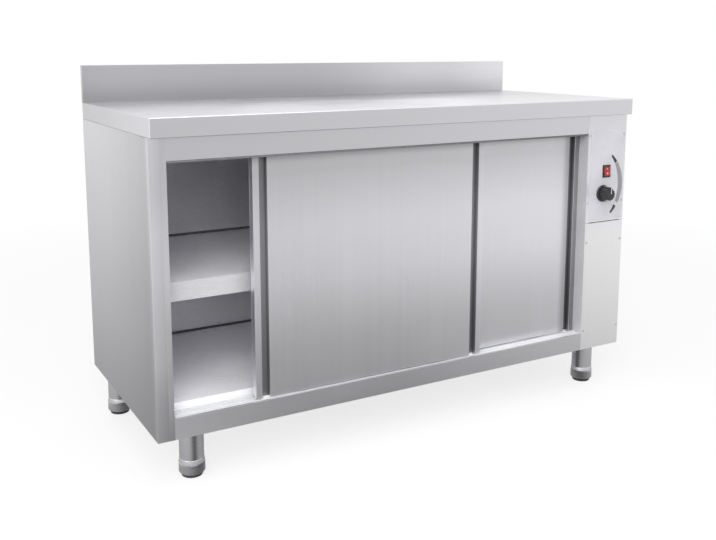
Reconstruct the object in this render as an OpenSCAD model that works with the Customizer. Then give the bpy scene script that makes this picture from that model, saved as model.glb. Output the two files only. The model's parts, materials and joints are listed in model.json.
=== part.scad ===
// Heated plate cupboard with two sliding doors, a rear upstand and a control column at the right.
// The origin is on the floor under the middle of the worktop. The front faces -Y and up is +Z.

/* [Overall] */
// Width over the side panels
width = 1400; // [1100:10:1800]
// Depth of the worktop, front edge to back
depth = 600; // [480:10:760]
// Height of the worktop above the floor
height = 850; // [700:10:1050]
// Height of the upstand above the worktop
upstand_h = 98; // [40:1:150]
// Clear height under the body
leg_clear = 125; // [95:1:170]

/* [Body] */
// Thickness of the steel sheet
sheet = 1; // [0.8:0.1:1.5]
// Height of the worktop's turned-down edge
worktop_edge = 44; // [30:1:60]
// How far the worktop stands out past the body's front
overhang = 20; // [10:1:35]
// Width of the hem under the worktop's edge
hem = 30; // [22:1:40]
// Thickness of the upstand
upstand_t = 15; // [10:1:25]
// Thickness of the left wall, outer sheet to liner
wall = 40; // [30:1:55]
// Thickness of the back wall
back_wall = 30; // [20:1:45]
// Thickness of the roof over the heated space
roof = 20; // [12:1:30]
// Width of the control column
column_w = 145; // [120:1:180]
// Thickness of the wall between the heated space and the column
partition_t = 20; // [14:1:26]
// Visible height of the rail over the doors
top_rail_h = 51; // [45:1:65]
// Visible height of the rail under the doors
bottom_rail_h = 49; // [40:1:65]
// Width of the jamb strip beside the left stile
jamb_face = 13; // [8:1:18]
// How far the deck lies above the bottom rail
deck_rise = 12; // [5:1:25]

/* [Shelf] */
// Height of the shelf's top above the floor
shelf_z = 470; // [390:1:570]
// Height of the shelf's front edge
shelf_edge = 45; // [25:1:60]
// Gap between the doors' track and the shelf
shelf_back_set = 5; // [3:1:60]

/* [Doors] */
// Thickness of a door
door_t = 20; // [16:1:24]
// Gap between the two doors
door_gap = 6; // [4:1:10]
// How far the front door lies behind the body's front
door_setback = 9; // [7:1:15]
// Overlap of the two doors when both are closed
door_overlap = 95; // [70:1:140]
// How far the front door stands open at rest
open_at_rest = 201; // [0:1:300]
// Width of the lip at each upright door edge
lip_w = 16; // [10:1:24]
// Width of the finger channel
grip_w = 20; // [16:1:26]
// Depth of the finger channel
grip_d = 13; // [8:1:14]
// Gap between a door's edge and the jamb at the end of its travel
door_play = 0.5; // [0.3:0.1:2]
// Gap under the doors
door_lift = 3; // [2:0.5:6]

/* [Door gear] */
// Height of the top track
track_h = 36; // [34:1:40]
// Radius of a roller
roller_r = 12; // [9:0.5:12]
// Radius of a roller's axle
axle_r = 3; // [2:0.5:4]
// Distance from a door's edge to its roller
hanger_in = 60; // [40:1:120]
// Width of the slots and grooves in the tracks
slot_w = 8; // [7:0.5:9]

/* [Controls] */
// Height of the control panel, from the worktop's edge down
control_h = 306; // [270:1:340]
// Drop from the worktop to the middle of the switch
switch_drop = 205; // [190:1:215]
// Drop from the worktop to the knob's axis
knob_drop = 268; // [255:1:280]
// Distance of the knob's axis from the column's middle, to the left
knob_aside = 12; // [0:1:16]
// Radius of the knob's skirt
knob_r = 24; // [20:1:30]
// Height of the knob
knob_h = 32; // [18:1:36]

/* [Legs] */
// Diameter of the leg tube
leg_d = 58; // [45:1:65]
// Diameter of the foot's collar
foot_d = 62; // [48:1:70]
// Distance of the front left leg's axis from the left side
leg_in_left = 100; // [60:1:140]
// Distance of the rear left leg's axis from the left side
leg_in_left_rear = 50; // [48:1:140]
// Distance of the right legs' axes from the right side
leg_in_right = 70; // [60:1:140]
// Distance of the front legs' axes from the body's front
leg_in_front = 70; // [55:1:100]
// Distance of the rear legs' axes from the back
leg_in_back = 60; // [50:1:120]
// How far a foot can be screwed out
foot_travel = 30; // [10:1:35]

/* [Hidden] */

$fn = 64;
steel = [0.76, 0.77, 0.78];
dark_steel = [0.45, 0.46, 0.48];
wool = [0.86, 0.78, 0.45];
plastic = [0.08, 0.08, 0.09];

// Outer faces and the heated space
x_l = -width / 2;
x_r = width / 2;
y_f = -depth / 2;
y_b = depth / 2;
y_body = y_f + overhang;
z_bot = leg_clear;
z_wt = height - worktop_edge;
x_in_l = x_l + wall;
x_in_r = x_r - column_w;
y_in_b = y_b - back_wall;
z_rail_t = z_wt - top_rail_h;
z_rail_b = z_bot + bottom_rail_h;
z_deck = z_rail_b + deck_rise;
z_ceil = z_wt - roof;
stile_w = wall - jamb_face;
back_return = 25;
rail_return = 4;
z_floor = z_bot + sheet;
slab_gap = 0.5;

// Door planes and tracks
door_pitch = door_t + door_gap;
y_front_door = y_body + door_setback + door_t / 2;
y_rear_door = y_front_door + door_pitch;
door_planes = [y_front_door, y_rear_door];
door_w = (x_in_r - x_in_l + door_overlap) / 2;
x_left_door = x_in_l + open_at_rest;
x_right_door = x_in_r - door_play - door_w;
track_wall = 2;
track_half = door_pitch / 2 - track_wall;
y_track_f = y_front_door - door_pitch / 2;
y_track_b = y_rear_door + door_pitch / 2;
y_liner = y_track_b + 3;
z_track = z_wt - track_h;
door_top_gap = 7;
z_door_b = z_rail_b + door_lift;
z_door_t = z_track - door_top_gap;
door_h = z_door_t - z_door_b;
run_gap = 0.25;
shaft_gap = 0.05;
z_axle = z_track + track_wall + roller_r + run_gap;
stem_t = 3;
wheel_in = stem_t / 2 + 0.5;
wheel_out = track_half - 2;
plate_t = 3;
guide_l = 84;
guide_reach = 9;
groove_d = 11;
stop_gap = 0.3;
stop_l = hanger_in + door_play - roller_r - stop_gap;

// Control column
x_col = (x_in_r + x_r) / 2;
z_panel = z_wt - control_h;
z_switch = height - switch_drop;
z_knob = height - knob_drop;
x_knob = x_col - knob_aside;
y_back_sheet = y_body + sheet;
plate_face_t = 0.5;
panel_return = 10;
panel_return_in = 15;
y_face = y_body - plate_face_t;
screw_r = 2;
head_r = 3.6;
head_t = 1.8;
screw_in = 7;
screw_up = 57;
bush_r = 5;
shaft_r = 3;
thermostat_r = 21;
thermostat_l = 26;
thermostat_end = 4;
y_thermostat = y_back_sheet + thermostat_l;
shaft_out = 12;
knob_stand = 1;
bezel = [30, 36];
bezel_t = 2;
cavity = [22, 28.6];
rocker = [21.4, 26.8];
rocker_tilt = 7;
rocker_ridge = 3;
rocker_rise = 1.6;
rocker_deep = 4;
switch_deep = 18;
switch_wall = 2;
cavity_deep = 8;
pivot_r = 1.5;
pivot_in = 1;
pivot_l = 1;

// Fan and heater
y_fan = (y_liner + y_in_b) / 2;
z_fan = z_deck + 115;
motor_l = 42;
motor_r = 32;
motor_behind = 28;
duct_d = column_w - partition_t - motor_l - sheet - motor_behind;
x_duct = x_in_r + partition_t;
x_motor = x_duct + duct_d;
duct_half = 85;
duct_z = [z_deck + 5, z_deck + 175];
suction_r = 38;
outlet_half = 75;
outlet_z = [z_deck + 20, z_deck + 45];
impeller_r = 42;
impeller_gap = 6;
impeller_w = min(20, duct_d - 2 * impeller_gap - 2);
x_impeller = x_motor - impeller_gap - impeller_w;
element_r = 4;
sleeve_r = 5;
element_ring = impeller_r + element_r + 3;
x_element = x_impeller + impeller_w / 2;
grille_t = 3;
grille_half = 88;
grille_z = [z_deck + 12, z_fan + 45];
gland_r = 8;
gland_bore = 5;
y_gland = y_b - leg_in_back - 105;
gland_drop = 17;

// Legs
leg_r = leg_d / 2;
leg_wall = 1.5;
leg_flange = 90;
leg_flange_t = 3;
foot_h = 34;
pad_h = 9;
ring_h = 6;
stem_r = 8;
leg_plug = 14;
leg_front_left = [x_l + leg_in_left, y_body + leg_in_front];
leg_front_right = [x_r - leg_in_right, y_body + leg_in_front];
leg_rear_left = [x_l + leg_in_left_rear, y_b - leg_in_back];
leg_rear_right = [x_r - leg_in_right, y_b - leg_in_back];
leg_places = [leg_front_left, leg_front_right, leg_rear_left, leg_rear_right];
bolt_r = 3;
bolt_in = 36;

// A block between two corners, given as ranges
module block(x, y, z) {
    translate([x[0], y[0], z[0]])
        cube([x[1] - x[0], y[1] - y[0], z[1] - z[0]]);
}

// A flat rectangle between two corners, given as ranges
module patch(u, v) {
    translate([u[0], v[0]])
        square([u[1] - u[0], v[1] - v[0]]);
}

// A profile drawn in Y and Z, drawn out along X
module along_x(x) {
    translate([x[0], 0, 0])
        rotate([90, 0, 90])
            linear_extrude(x[1] - x[0])
                children();
}

// A round bar along Y between two depths
module bar_y(r, x, y, z) {
    translate([x, y[1], z])
        rotate([90, 0, 0])
            cylinder(r = r, h = y[1] - y[0]);
}

// A round bar along X
module bar_x(r, x, y, z) {
    translate([x[0], y, z])
        rotate([0, 90, 0])
            cylinder(r = r, h = x[1] - x[0]);
}

// Places of the screws in the column's two front plates
panel_screws = [
    for (x = [x_in_r + screw_in, x_r - screw_in], z = [z_panel + screw_up, z_wt - screw_up]) [x, z],
    for (x = [x_in_r + screw_in, x_r - screw_in], z = [z_bot + screw_up, z_panel - screw_up]) [x, z]
];

module screw_holes() {
    for (p = panel_screws)
        bar_y(screw_r + shaft_gap, p[0], [y_body - 5, y_body + 5], p[1]);
}

// Worktop, upstand and board
module worktop() {
    color(steel) {
        difference() {
            block([x_l, x_r], [y_f, y_b], [z_wt, height]);
            block([x_l + sheet, x_r - sheet], [y_f + sheet, y_b - sheet], [z_wt - 1, height - sheet]);
        }
        difference() {
            block([x_l, x_r], [y_f, y_b], [z_wt, z_wt + sheet]);
            block([x_l + hem, x_r - hem], [y_f + hem, y_b - hem], [z_wt - 1, z_wt + 2 * sheet]);
        }
    }
}

module worktop_board() {
    color("tan")
        block([x_l + sheet, x_r - sheet], [y_f + sheet, y_b - sheet], [z_wt + sheet, height - sheet]);
}

module upstand() {
    color(steel)
        difference() {
            block([x_l, x_r], [y_b - upstand_t, y_b], [height, height + upstand_h]);
            block([x_l + sheet, x_r - sheet], [y_b - upstand_t + sheet, y_b - sheet],
                [height - 1, height + upstand_h - sheet]);
        }
}

// Outer shell
module side_panel_left() {
    color(steel) {
        block([x_l, x_l + sheet], [y_body, y_b], [z_bot, z_wt]);
        block([x_l, x_l + stile_w], [y_body, y_body + sheet], [z_bot, z_wt]);
        block([x_l, x_l + back_return], [y_b - sheet, y_b], [z_bot, z_wt]);
    }
}

module side_panel_right() {
    color(steel)
        difference() {
            union() {
                block([x_r - sheet, x_r], [y_back_sheet, y_b], [z_bot, z_wt]);
                block([x_r - 2 * screw_in, x_r], [y_back_sheet, y_back_sheet + sheet], [z_floor, z_wt]);
                block([x_r - back_return, x_r], [y_b - sheet, y_b], [z_bot, z_wt]);
            }
            screw_holes();
        }
}

// Back sheet, with a row of vent slots behind the column
vent_l = 70;
vent_h = 5;
vent_pitch = 14;
vent_count = 8;
vent_up = 90;

module back_panel() {
    color(steel)
        difference() {
            block([x_l + back_return, x_r - back_return], [y_b - sheet, y_b], [z_bot, z_wt]);
            for (i = [0 : vent_count - 1])
                block([x_col - vent_l / 2, x_col + vent_l / 2], [y_b - 5, y_b + 1],
                    [z_bot + vent_up + i * vent_pitch, z_bot + vent_up + i * vent_pitch + vent_h]);
        }
}

module base_pan() {
    color(steel)
        difference() {
            block([x_l + sheet, x_r - sheet], [y_back_sheet, y_b - sheet], [z_bot, z_floor]);
            translate([x_col, y_gland, z_bot - 1])
                cylinder(r = gland_r + shaft_gap, h = 2 * sheet + 1);
            for (p = leg_places)
                translate(p)
                    leg_bolt_holes();
        }
}

// Liners of the heated space
module side_liner() {
    color(dark_steel)
        block([x_in_l - sheet, x_in_l], [y_liner, y_in_b + sheet], [z_floor, z_wt]);
}

module partition_openings() {
    bar_x(suction_r, [x_in_r - 1, x_duct + 1], y_fan, z_fan);
    block([x_in_r - 1, x_duct + 1], [y_fan - outlet_half, y_fan + outlet_half], outlet_z);
}

module partition_liner() {
    color(dark_steel)
        difference() {
            block([x_in_r, x_in_r + sheet], [y_liner, y_in_b + sheet], [z_floor, z_wt]);
            partition_openings();
        }
}

module partition_insulation() {
    color(wool)
        difference() {
            block([x_in_r + sheet, x_duct], [y_liner, y_in_b + sheet], [z_floor, z_wt]);
            partition_openings();
        }
}

module back_liner() {
    color(dark_steel)
        block([x_in_l, x_in_r], [y_in_b, y_in_b + sheet], [z_floor, z_wt]);
}

module ceiling_liner() {
    color(dark_steel) {
        block([x_in_l, x_in_r], [y_liner, y_in_b], [z_ceil, z_ceil + sheet]);
        block([x_in_l, x_in_r], [y_liner, y_liner + sheet], [z_ceil, z_wt]);
    }
}

module deck() {
    color(dark_steel) {
        block([x_in_l, x_in_r], [y_liner, y_in_b], [z_deck - sheet, z_deck]);
        block([x_in_l, x_in_r], [y_liner, y_liner + sheet], [z_floor, z_deck]);
    }
}

// Mineral wool slabs in the left wall, the back wall, the base and the roof
module insulation() {
    color(wool) {
        block([x_l + sheet, x_in_l - sheet], [y_liner, y_in_b + sheet - slab_gap], [z_floor, z_wt]);
        block([x_l + sheet, x_in_r], [y_in_b + sheet, y_b - sheet], [z_floor, z_wt]);
        block([x_in_l, x_in_r], [y_liner + sheet, y_in_b], [z_floor, z_deck - sheet]);
        block([x_in_l, x_in_r], [y_liner + sheet, y_in_b], [z_ceil + sheet, z_wt]);
    }
}

// Front frame
module top_rail() {
    color(steel) {
        block([x_in_l, x_in_r], [y_body, y_body + sheet], [z_rail_t, z_wt]);
        block([x_in_l, x_in_r], [y_body, y_body + rail_return], [z_rail_t, z_rail_t + sheet]);
        block([x_in_l, x_in_r], [y_body, y_body + rail_return], [z_wt - sheet, z_wt]);
    }
}

module bottom_rail() {
    color(steel) {
        block([x_in_l, x_in_r], [y_body, y_body + sheet], [z_bot, z_rail_b]);
        block([x_in_l, x_in_r], [y_body, y_body + rail_return], [z_rail_b - sheet, z_rail_b]);
    }
}

module jamb_left() {
    color(steel) {
        block([x_in_l - jamb_face, x_in_l], [y_body, y_body + sheet], [z_bot, z_wt]);
        block([x_in_l - sheet, x_in_l], [y_body, y_liner], [z_floor, z_wt]);
        block([x_in_l - jamb_face, x_in_l], [y_liner - sheet, y_liner], [z_floor, z_wt]);
    }
}

module jamb_right() {
    color(steel)
        difference() {
            union() {
                block([x_in_r, x_in_r + sheet], [y_back_sheet, y_liner], [z_floor, z_wt]);
                block([x_in_r, x_in_r + 2 * screw_in], [y_back_sheet, y_back_sheet + sheet], [z_floor, z_wt]);
                block([x_in_r, x_in_r + 2 * screw_in], [y_liner - sheet, y_liner], [z_floor, z_wt]);
            }
            screw_holes();
        }
}

// Tracks
module top_track() {
    color("silver")
        along_x([x_in_l, x_in_r])
            difference() {
                patch([y_track_f, y_track_b], [z_track, z_wt]);
                for (y = door_planes) {
                    patch([y - track_half, y + track_half], [z_track + track_wall, z_wt - track_wall]);
                    patch([y - slot_w / 2, y + slot_w / 2], [z_track - 1, z_track + track_wall + 1]);
                }
            }
}

module bottom_track() {
    color("silver")
        along_x([x_in_l, x_in_r])
            difference() {
                patch([y_track_f, y_track_b], [z_floor, z_rail_b]);
                for (y = door_planes)
                    patch([y - slot_w / 2, y + slot_w / 2], [z_rail_b - groove_d, z_rail_b + 1]);
                patch([y_track_f + track_wall, y_track_b - track_wall],
                    [z_floor - 1, z_rail_b - groove_d - track_wall]);
                patch([y_front_door + slot_w / 2 + track_wall, y_rear_door - slot_w / 2 - track_wall],
                    [z_floor - 1, z_rail_b - track_wall]);
            }
}

// Rubber blocks at both ends of each roller channel
module track_stops() {
    color(plastic)
        for (y = door_planes, x = [x_in_l, x_in_r - stop_l])
            block([x, x + stop_l], [y - track_half + 1, y + track_half - 1],
                [z_track + track_wall, z_axle + roller_r / 2]);
}

// Shelf, folded down on all sides, on angle supports
shelf_side_edge = 15;
shelf_gap = 1;
angle_t = 1.5;
angle_w = 20;
y_shelf = y_liner + shelf_back_set;

module mid_shelf() {
    x0 = x_in_l + shelf_gap;
    x1 = x_in_r - shelf_gap;
    y1 = y_in_b - shelf_gap;
    color(dark_steel) {
        block([x0, x1], [y_shelf, y1], [shelf_z - sheet, shelf_z]);
        block([x0, x1], [y_shelf, y_shelf + sheet], [shelf_z - shelf_edge, shelf_z]);
        block([x0, x1], [y_shelf, y_shelf + angle_w], [shelf_z - shelf_edge, shelf_z - shelf_edge + sheet]);
        block([x0, x1], [y1 - sheet, y1], [shelf_z - shelf_edge, shelf_z]);
        block([x0, x0 + sheet], [y_shelf, y1], [shelf_z - shelf_side_edge, shelf_z]);
        block([x1 - sheet, x1], [y_shelf, y1], [shelf_z - shelf_side_edge, shelf_z]);
    }
}

module shelf_supports() {
    y = [y_shelf + angle_w + shelf_gap, y_in_b - 2 * shelf_gap - sheet];
    z = shelf_z - shelf_side_edge;
    color(dark_steel) {
        block([x_in_l, x_in_l + angle_w], y, [z - angle_t, z]);
        block([x_in_l, x_in_l + angle_t], y, [z - angle_w, z]);
        block([x_in_r - angle_w, x_in_r], y, [z - angle_t, z]);
        block([x_in_r - angle_t, x_in_r], y, [z - angle_w, z]);
    }
}

// Control column
module column_cover() {
    color(steel)
        difference() {
            union() {
                block([x_in_r, x_r], [y_body, y_back_sheet], [z_bot, z_panel - 2 * sheet]);
                block([x_in_r + panel_return_in, x_r - panel_return_in],
                    [y_body, y_body + panel_return], [z_panel - 3 * sheet, z_panel - 2 * sheet]);
            }
            screw_holes();
        }
}

module panel_openings() {
    bar_y(bush_r + shaft_gap, x_knob, [y_body - 5, y_body + 5], z_knob);
    block([x_col - bezel[0] / 2 + switch_wall, x_col + bezel[0] / 2 - switch_wall], [y_body - 5, y_body + 5],
        [z_switch - bezel[1] / 2 + switch_wall, z_switch + bezel[1] / 2 - switch_wall]);
}

module control_panel() {
    color(steel)
        difference() {
            union() {
                block([x_in_r, x_r], [y_body, y_back_sheet], [z_panel, z_wt]);
                block([x_in_r + panel_return_in, x_r - panel_return_in],
                    [y_body, y_body + panel_return], [z_panel, z_panel + sheet]);
            }
            screw_holes();
            panel_openings();
        }
}

// Printed plate on the control panel, cut out round the screw heads
plate_in = 10;
plate_in_right = 4;
plate_up = 4;
plate_down = 41;
head_gap = 0.3;

module scale_plate() {
    color([0.9, 0.9, 0.92])
        difference() {
            block([x_in_r + plate_in, x_r - plate_in_right], [y_face, y_body],
                [z_panel + plate_up, z_wt - plate_down]);
            panel_openings();
            for (p = panel_screws)
                bar_y(head_r + head_gap, p[0], [y_body - 5, y_body + 5], p[1]);
        }
}

module thermostat() {
    color(plastic)
        difference() {
            union() {
                bar_y(thermostat_r, x_knob, [y_back_sheet, y_thermostat], z_knob);
                bar_y(bush_r, x_knob, [y_face, y_back_sheet], z_knob);
            }
            bar_y(shaft_r + shaft_gap, x_knob, [y_face - 1, y_thermostat - thermostat_end], z_knob);
        }
}

module thermostat_shaft() {
    color("silver")
        bar_y(shaft_r, x_knob, [y_face - knob_stand - shaft_out, y_thermostat - thermostat_end - 1], z_knob);
}

// Round knob with a skirt, a fluted grip and a pointer ridge
knob_skirt = 5;
grip_r = knob_r - 6;
pointer_w = 5;
pointer_rise = 2;
pointer_l = knob_r - 3;
flute_r = 3;
flute_ring = grip_r + 2;

module knob() {
    y0 = y_face - knob_stand;
    color(plastic)
        difference() {
            union() {
                bar_y(knob_r, x_knob, [y0 - knob_skirt, y0], z_knob);
                bar_y(grip_r, x_knob, [y0 - knob_h, y0 - knob_skirt], z_knob);
                block([x_knob - pointer_w / 2, x_knob + pointer_w / 2],
                    [y0 - knob_h - pointer_rise, y0 - knob_skirt], [z_knob, z_knob + pointer_l]);
            }
            for (a = [15 : 30 : 345])
                bar_y(flute_r, x_knob + flute_ring * sin(a), [y0 - knob_skirt - knob_h, y0 - knob_skirt],
                    z_knob + flute_ring * cos(a));
            bar_y(shaft_r + shaft_gap, x_knob, [y0 - shaft_out - shaft_gap, y0 + 1], z_knob);
        }
}

module switch_bezel() {
    y0 = y_face - bezel_t;
    body = bezel / 2 - [switch_wall, switch_wall] - [shaft_gap, shaft_gap];
    color(plastic)
        difference() {
            union() {
                block([x_col - bezel[0] / 2, x_col + bezel[0] / 2], [y0, y_face],
                    [z_switch - bezel[1] / 2, z_switch + bezel[1] / 2]);
                block([x_col - body[0], x_col + body[0]], [y0, y0 + switch_deep],
                    [z_switch - body[1], z_switch + body[1]]);
            }
            block([x_col - cavity[0] / 2, x_col + cavity[0] / 2], [y0 - 1, y0 + pivot_in + cavity_deep],
                [z_switch - cavity[1] / 2, z_switch + cavity[1] / 2]);
            bar_x(pivot_r + shaft_gap, [x_col - cavity[0] / 2 - pivot_l - shaft_gap,
                x_col + cavity[0] / 2 + pivot_l + shaft_gap], y0 + pivot_in, z_switch);
        }
}

// The rocker rests with its upper half pressed in, and its faces meet in a shallow V
module switch_rocker() {
    y0 = y_face - bezel_t + pivot_in;
    half = rocker[1] / 2;
    color("darkred")
        translate([x_col, y0, z_switch]) {
            rotate([-rocker_tilt, 0, 0])
                along_x([-rocker[0] / 2, rocker[0] / 2])
                    polygon([[-rocker_ridge - rocker_rise, -half], [-rocker_ridge, 0],
                        [-rocker_ridge - rocker_rise, half], [rocker_deep, half], [rocker_deep, -half]]);
            bar_x(pivot_r, [-cavity[0] / 2 - pivot_l, cavity[0] / 2 + pivot_l], 0, 0);
        }
}

// Fan heater behind the partition
duct_flange = 10;
motor_clear = 3;
motor_bore = 26;
element_tail = 15;

module fan_shroud() {
    color("silver")
        difference() {
            union() {
                block([x_duct, x_motor], [y_fan - duct_half, y_fan + duct_half], duct_z);
                block([x_duct, x_duct + sheet],
                    [y_fan - duct_half - duct_flange, y_fan + duct_half + duct_flange],
                    [duct_z[0] - duct_flange / 2, duct_z[1] + duct_flange]);
            }
            block([x_duct - 1, x_motor - sheet], [y_fan - duct_half + sheet, y_fan + duct_half - sheet],
                [duct_z[0] + sheet, duct_z[1] - sheet]);
            bar_x(shaft_r + motor_clear, [x_duct, x_motor + 1], y_fan, z_fan);
            for (s = [-1, 1])
                bar_x(sleeve_r + shaft_gap, [x_duct, x_motor + 1],
                    y_fan + s * element_end[0], z_fan + element_end[1]);
        }
}

module fan_motor() {
    color(dark_steel)
        difference() {
            bar_x(motor_r, [x_motor, x_motor + motor_l], y_fan, z_fan);
            bar_x(shaft_r + shaft_gap, [x_motor - 1, x_motor + motor_bore], y_fan, z_fan);
            for (s = [-1, 1])
                bar_x(sleeve_r + motor_clear, [x_motor - 1, x_motor + motor_l + 1],
                    y_fan + s * element_end[0], z_fan + element_end[1]);
        }
}

// Fan wheel on its shaft: a back plate with straight blades
blade_count = 12;
blade_t = 1.2;
blade_in = 24;
hub_r = 9;
hub_l = 10;

module fan_impeller() {
    x1 = x_impeller + impeller_w;
    color("silver") {
        bar_x(shaft_r, [x1 - hub_l - impeller_gap, x_motor + motor_bore - 1], y_fan, z_fan);
        bar_x(hub_r, [x1 - hub_l, x1], y_fan, z_fan);
        bar_x(impeller_r, [x1 - sheet, x1], y_fan, z_fan);
        for (i = [0 : blade_count - 1])
            translate([x_impeller, y_fan, z_fan])
                rotate([i * 360 / blade_count, 0, 0])
                    block([0, impeller_w], [blade_in, impeller_r - 1], [-blade_t / 2, blade_t / 2]);
    }
}

// A ring round the impeller, open at the bottom, with both ends led out through the shroud
element_open = 30;
element_end = [element_ring * sin(element_open), -element_ring * cos(element_open)];

module heating_element() {
    color("silver") {
        translate([x_element, y_fan, z_fan])
            rotate([0, 90, 0])
                rotate([0, 0, element_open])
                    rotate_extrude(angle = 360 - 2 * element_open)
                        translate([element_ring, 0])
                            circle(r = element_r);
        for (s = [-1, 1])
            bar_x(sleeve_r, [x_element - sleeve_r, x_motor + element_tail],
                y_fan + s * element_end[0], z_fan + element_end[1]);
    }
}

// Slotted plate over the fan's openings, with a bar down its middle
grille_pitch = 12;
grille_slot = 6;
grille_edge = 10;
grille_bar = 4;

module air_grille() {
    rows = floor((grille_z[1] - grille_z[0] - grille_edge - grille_slot) / grille_pitch);
    color(dark_steel)
        difference() {
            block([x_in_r - grille_t, x_in_r], [y_fan - grille_half, y_fan + grille_half], grille_z);
            for (i = [0 : rows - 1], s = [-1, 1]) {
                z = grille_z[0] + grille_edge + i * grille_pitch;
                y0 = y_fan + (s < 0 ? grille_edge - grille_half : grille_bar);
                block([x_in_r - grille_t - 1, x_in_r + 1],
                    [y0, y0 + grille_half - grille_edge - grille_bar], [z, z + grille_slot]);
            }
        }
}

// Terminal block and gland near the back of the column
y_block = y_gland - 75;
block_l = 70;
block_w = 24;
block_h = 20;
terminal_pitch = 13;
terminal_in = 6;
terminal_r = 3;

module terminal_block() {
    color([0.9, 0.9, 0.86])
        difference() {
            block([x_col - block_l / 2, x_col + block_l / 2], [y_block - block_w / 2, y_block + block_w / 2],
                [z_floor, z_floor + block_h]);
            for (i = [-2 : 2], s = [-1, 1])
                translate([x_col + i * terminal_pitch, y_block + s * terminal_in, z_floor + block_h])
                    cylinder(r = terminal_r, h = 2 * terminal_in, center = true);
        }
}

nut_r = 13;
nut_h = 5;
gland_cap_r = 10;
gland_up = 8;

module cable_gland() {
    color(plastic)
        translate([x_col, y_gland, 0])
            difference() {
                union() {
                    translate([0, 0, z_bot - gland_drop])
                        cylinder(r = gland_cap_r, h = gland_drop - nut_h);
                    translate([0, 0, z_bot - nut_h])
                        cylinder(r = nut_r, h = nut_h, $fn = 6);
                    translate([0, 0, z_bot - 1])
                        cylinder(r = gland_r, h = gland_up + 1);
                    translate([0, 0, z_floor])
                        cylinder(r = nut_r, h = nut_h, $fn = 6);
                }
                translate([0, 0, z_bot - gland_drop - 1])
                    cylinder(r = gland_bore, h = gland_drop + gland_up + 2);
            }
}

// A lead with round corners, along a list of points
module lead(points, r) {
    for (i = [0 : len(points) - 2]) {
        d = points[i + 1] - points[i];
        translate(points[i])
            rotate([0, acos(d[2] / norm(d)), atan2(d[1], d[0])])
                cylinder(r = r, h = norm(d));
        if (i > 0)
            translate(points[i])
                sphere(r = r);
    }
}

lead_r = 2;
x_lead = x_r - sheet - 5;

// A lead from a terminal up the right side to a place behind the panel
module panel_lead(terminal, rise, x, y, z, reach) {
    x0 = x_col + terminal * terminal_pitch;
    y0 = y_block - terminal_in;
    z0 = z_floor + block_h;
    lead([[x0, y0, z0 - terminal_in + 1], [x0, y0, z0 + rise], [x_lead, y0, z0 + rise],
        [x_lead, y + reach, z0 + rise], [x_lead, y + reach, z], [x, y + reach, z], [x, y, z]], lead_r);
}

module wiring() {
    color("firebrick") {
        panel_lead(2, 18, x_col + 6, y_face - bezel_t + switch_deep, z_switch, 30);
        panel_lead(1, 28, x_knob, y_thermostat, z_knob, 14);
    }
}

// Legs with a bright ring at the foot
module leg_bolt_holes() {
    for (sx = [-1, 1], sy = [-1, 1])
        translate([sx * bolt_in, sy * bolt_in, z_bot - leg_flange_t - 1])
            cylinder(r = bolt_r + shaft_gap, h = leg_flange_t + sheet + 2);
}

module legs() {
    color("silver")
        for (p = leg_places)
            translate(p)
                difference() {
                    union() {
                        translate([0, 0, foot_h])
                            cylinder(r = leg_r, h = z_bot - foot_h);
                        translate([0, 0, foot_h])
                            cylinder(r = leg_r + 1, h = ring_h);
                        block([-leg_flange / 2, leg_flange / 2], [-leg_flange / 2, leg_flange / 2],
                            [z_bot - leg_flange_t, z_bot]);
                    }
                    translate([0, 0, foot_h + leg_plug])
                        cylinder(r = leg_r - leg_wall, h = z_bot - foot_h - leg_plug - leg_flange_t);
                    translate([0, 0, foot_h - 1])
                        cylinder(r = stem_r + shaft_gap, h = leg_plug + 2);
                    leg_bolt_holes();
                }
}

// Foot: a pad, a collar with a bevelled lower edge and a stem that runs up into the leg
pad_in = 6;
collar_bevel = 3;
stem_hold = 10;

module foot(place) {
    color(dark_steel)
        translate(place) {
            cylinder(r = foot_d / 2 - pad_in, h = pad_h);
            translate([0, 0, pad_h])
                cylinder(r1 = foot_d / 2 - collar_bevel + 1, r2 = foot_d / 2, h = collar_bevel);
            translate([0, 0, pad_h + collar_bevel])
                cylinder(r = foot_d / 2, h = foot_h - pad_h - collar_bevel - run_gap);
            translate([0, 0, pad_h])
                cylinder(r = stem_r, h = foot_h + foot_travel + stem_hold - pad_h);
        }
}

module foot_front_left() {
    foot(leg_front_left);
}

module foot_front_right() {
    foot(leg_front_right);
}

module foot_rear_left() {
    foot(leg_rear_left);
}

module foot_rear_right() {
    foot(leg_rear_right);
}

// Screws of the column's front plates and bolts of the leg flanges
screw_l = 6;
bolt_head_r = 5.5;
bolt_head_h = 4;

module fasteners() {
    color("silver") {
        for (p = panel_screws) {
            bar_y(head_r, p[0], [y_body - head_t, y_body], p[1]);
            bar_y(screw_r, p[0], [y_body - 1, y_body + screw_l], p[1]);
        }
        for (p = leg_places, sx = [-1, 1], sy = [-1, 1])
            translate([p[0] + sx * bolt_in, p[1] + sy * bolt_in, 0]) {
                translate([0, 0, z_bot - leg_flange_t - bolt_head_h])
                    cylinder(r = bolt_head_r, h = bolt_head_h, $fn = 6);
                translate([0, 0, z_bot - leg_flange_t - 1])
                    cylinder(r = bolt_r, h = leg_flange_t + sheet + 1);
            }
    }
}

// Doors. A door's own outline is drawn with its left edge at zero and its face at zero depth.
module grip_notches(grow) {
    for (u = [lip_w, door_w - lip_w - grip_w])
        patch([u - grow, u + grip_w + grow], [-1, grip_d + grow]);
}

module door_outline() {
    difference() {
        patch([0, door_w], [0, door_t - sheet]);
        grip_notches(0);
    }
}

module door_inside() {
    difference() {
        patch([sheet, door_w - sheet], [sheet, door_t - sheet]);
        grip_notches(sheet);
    }
}

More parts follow.
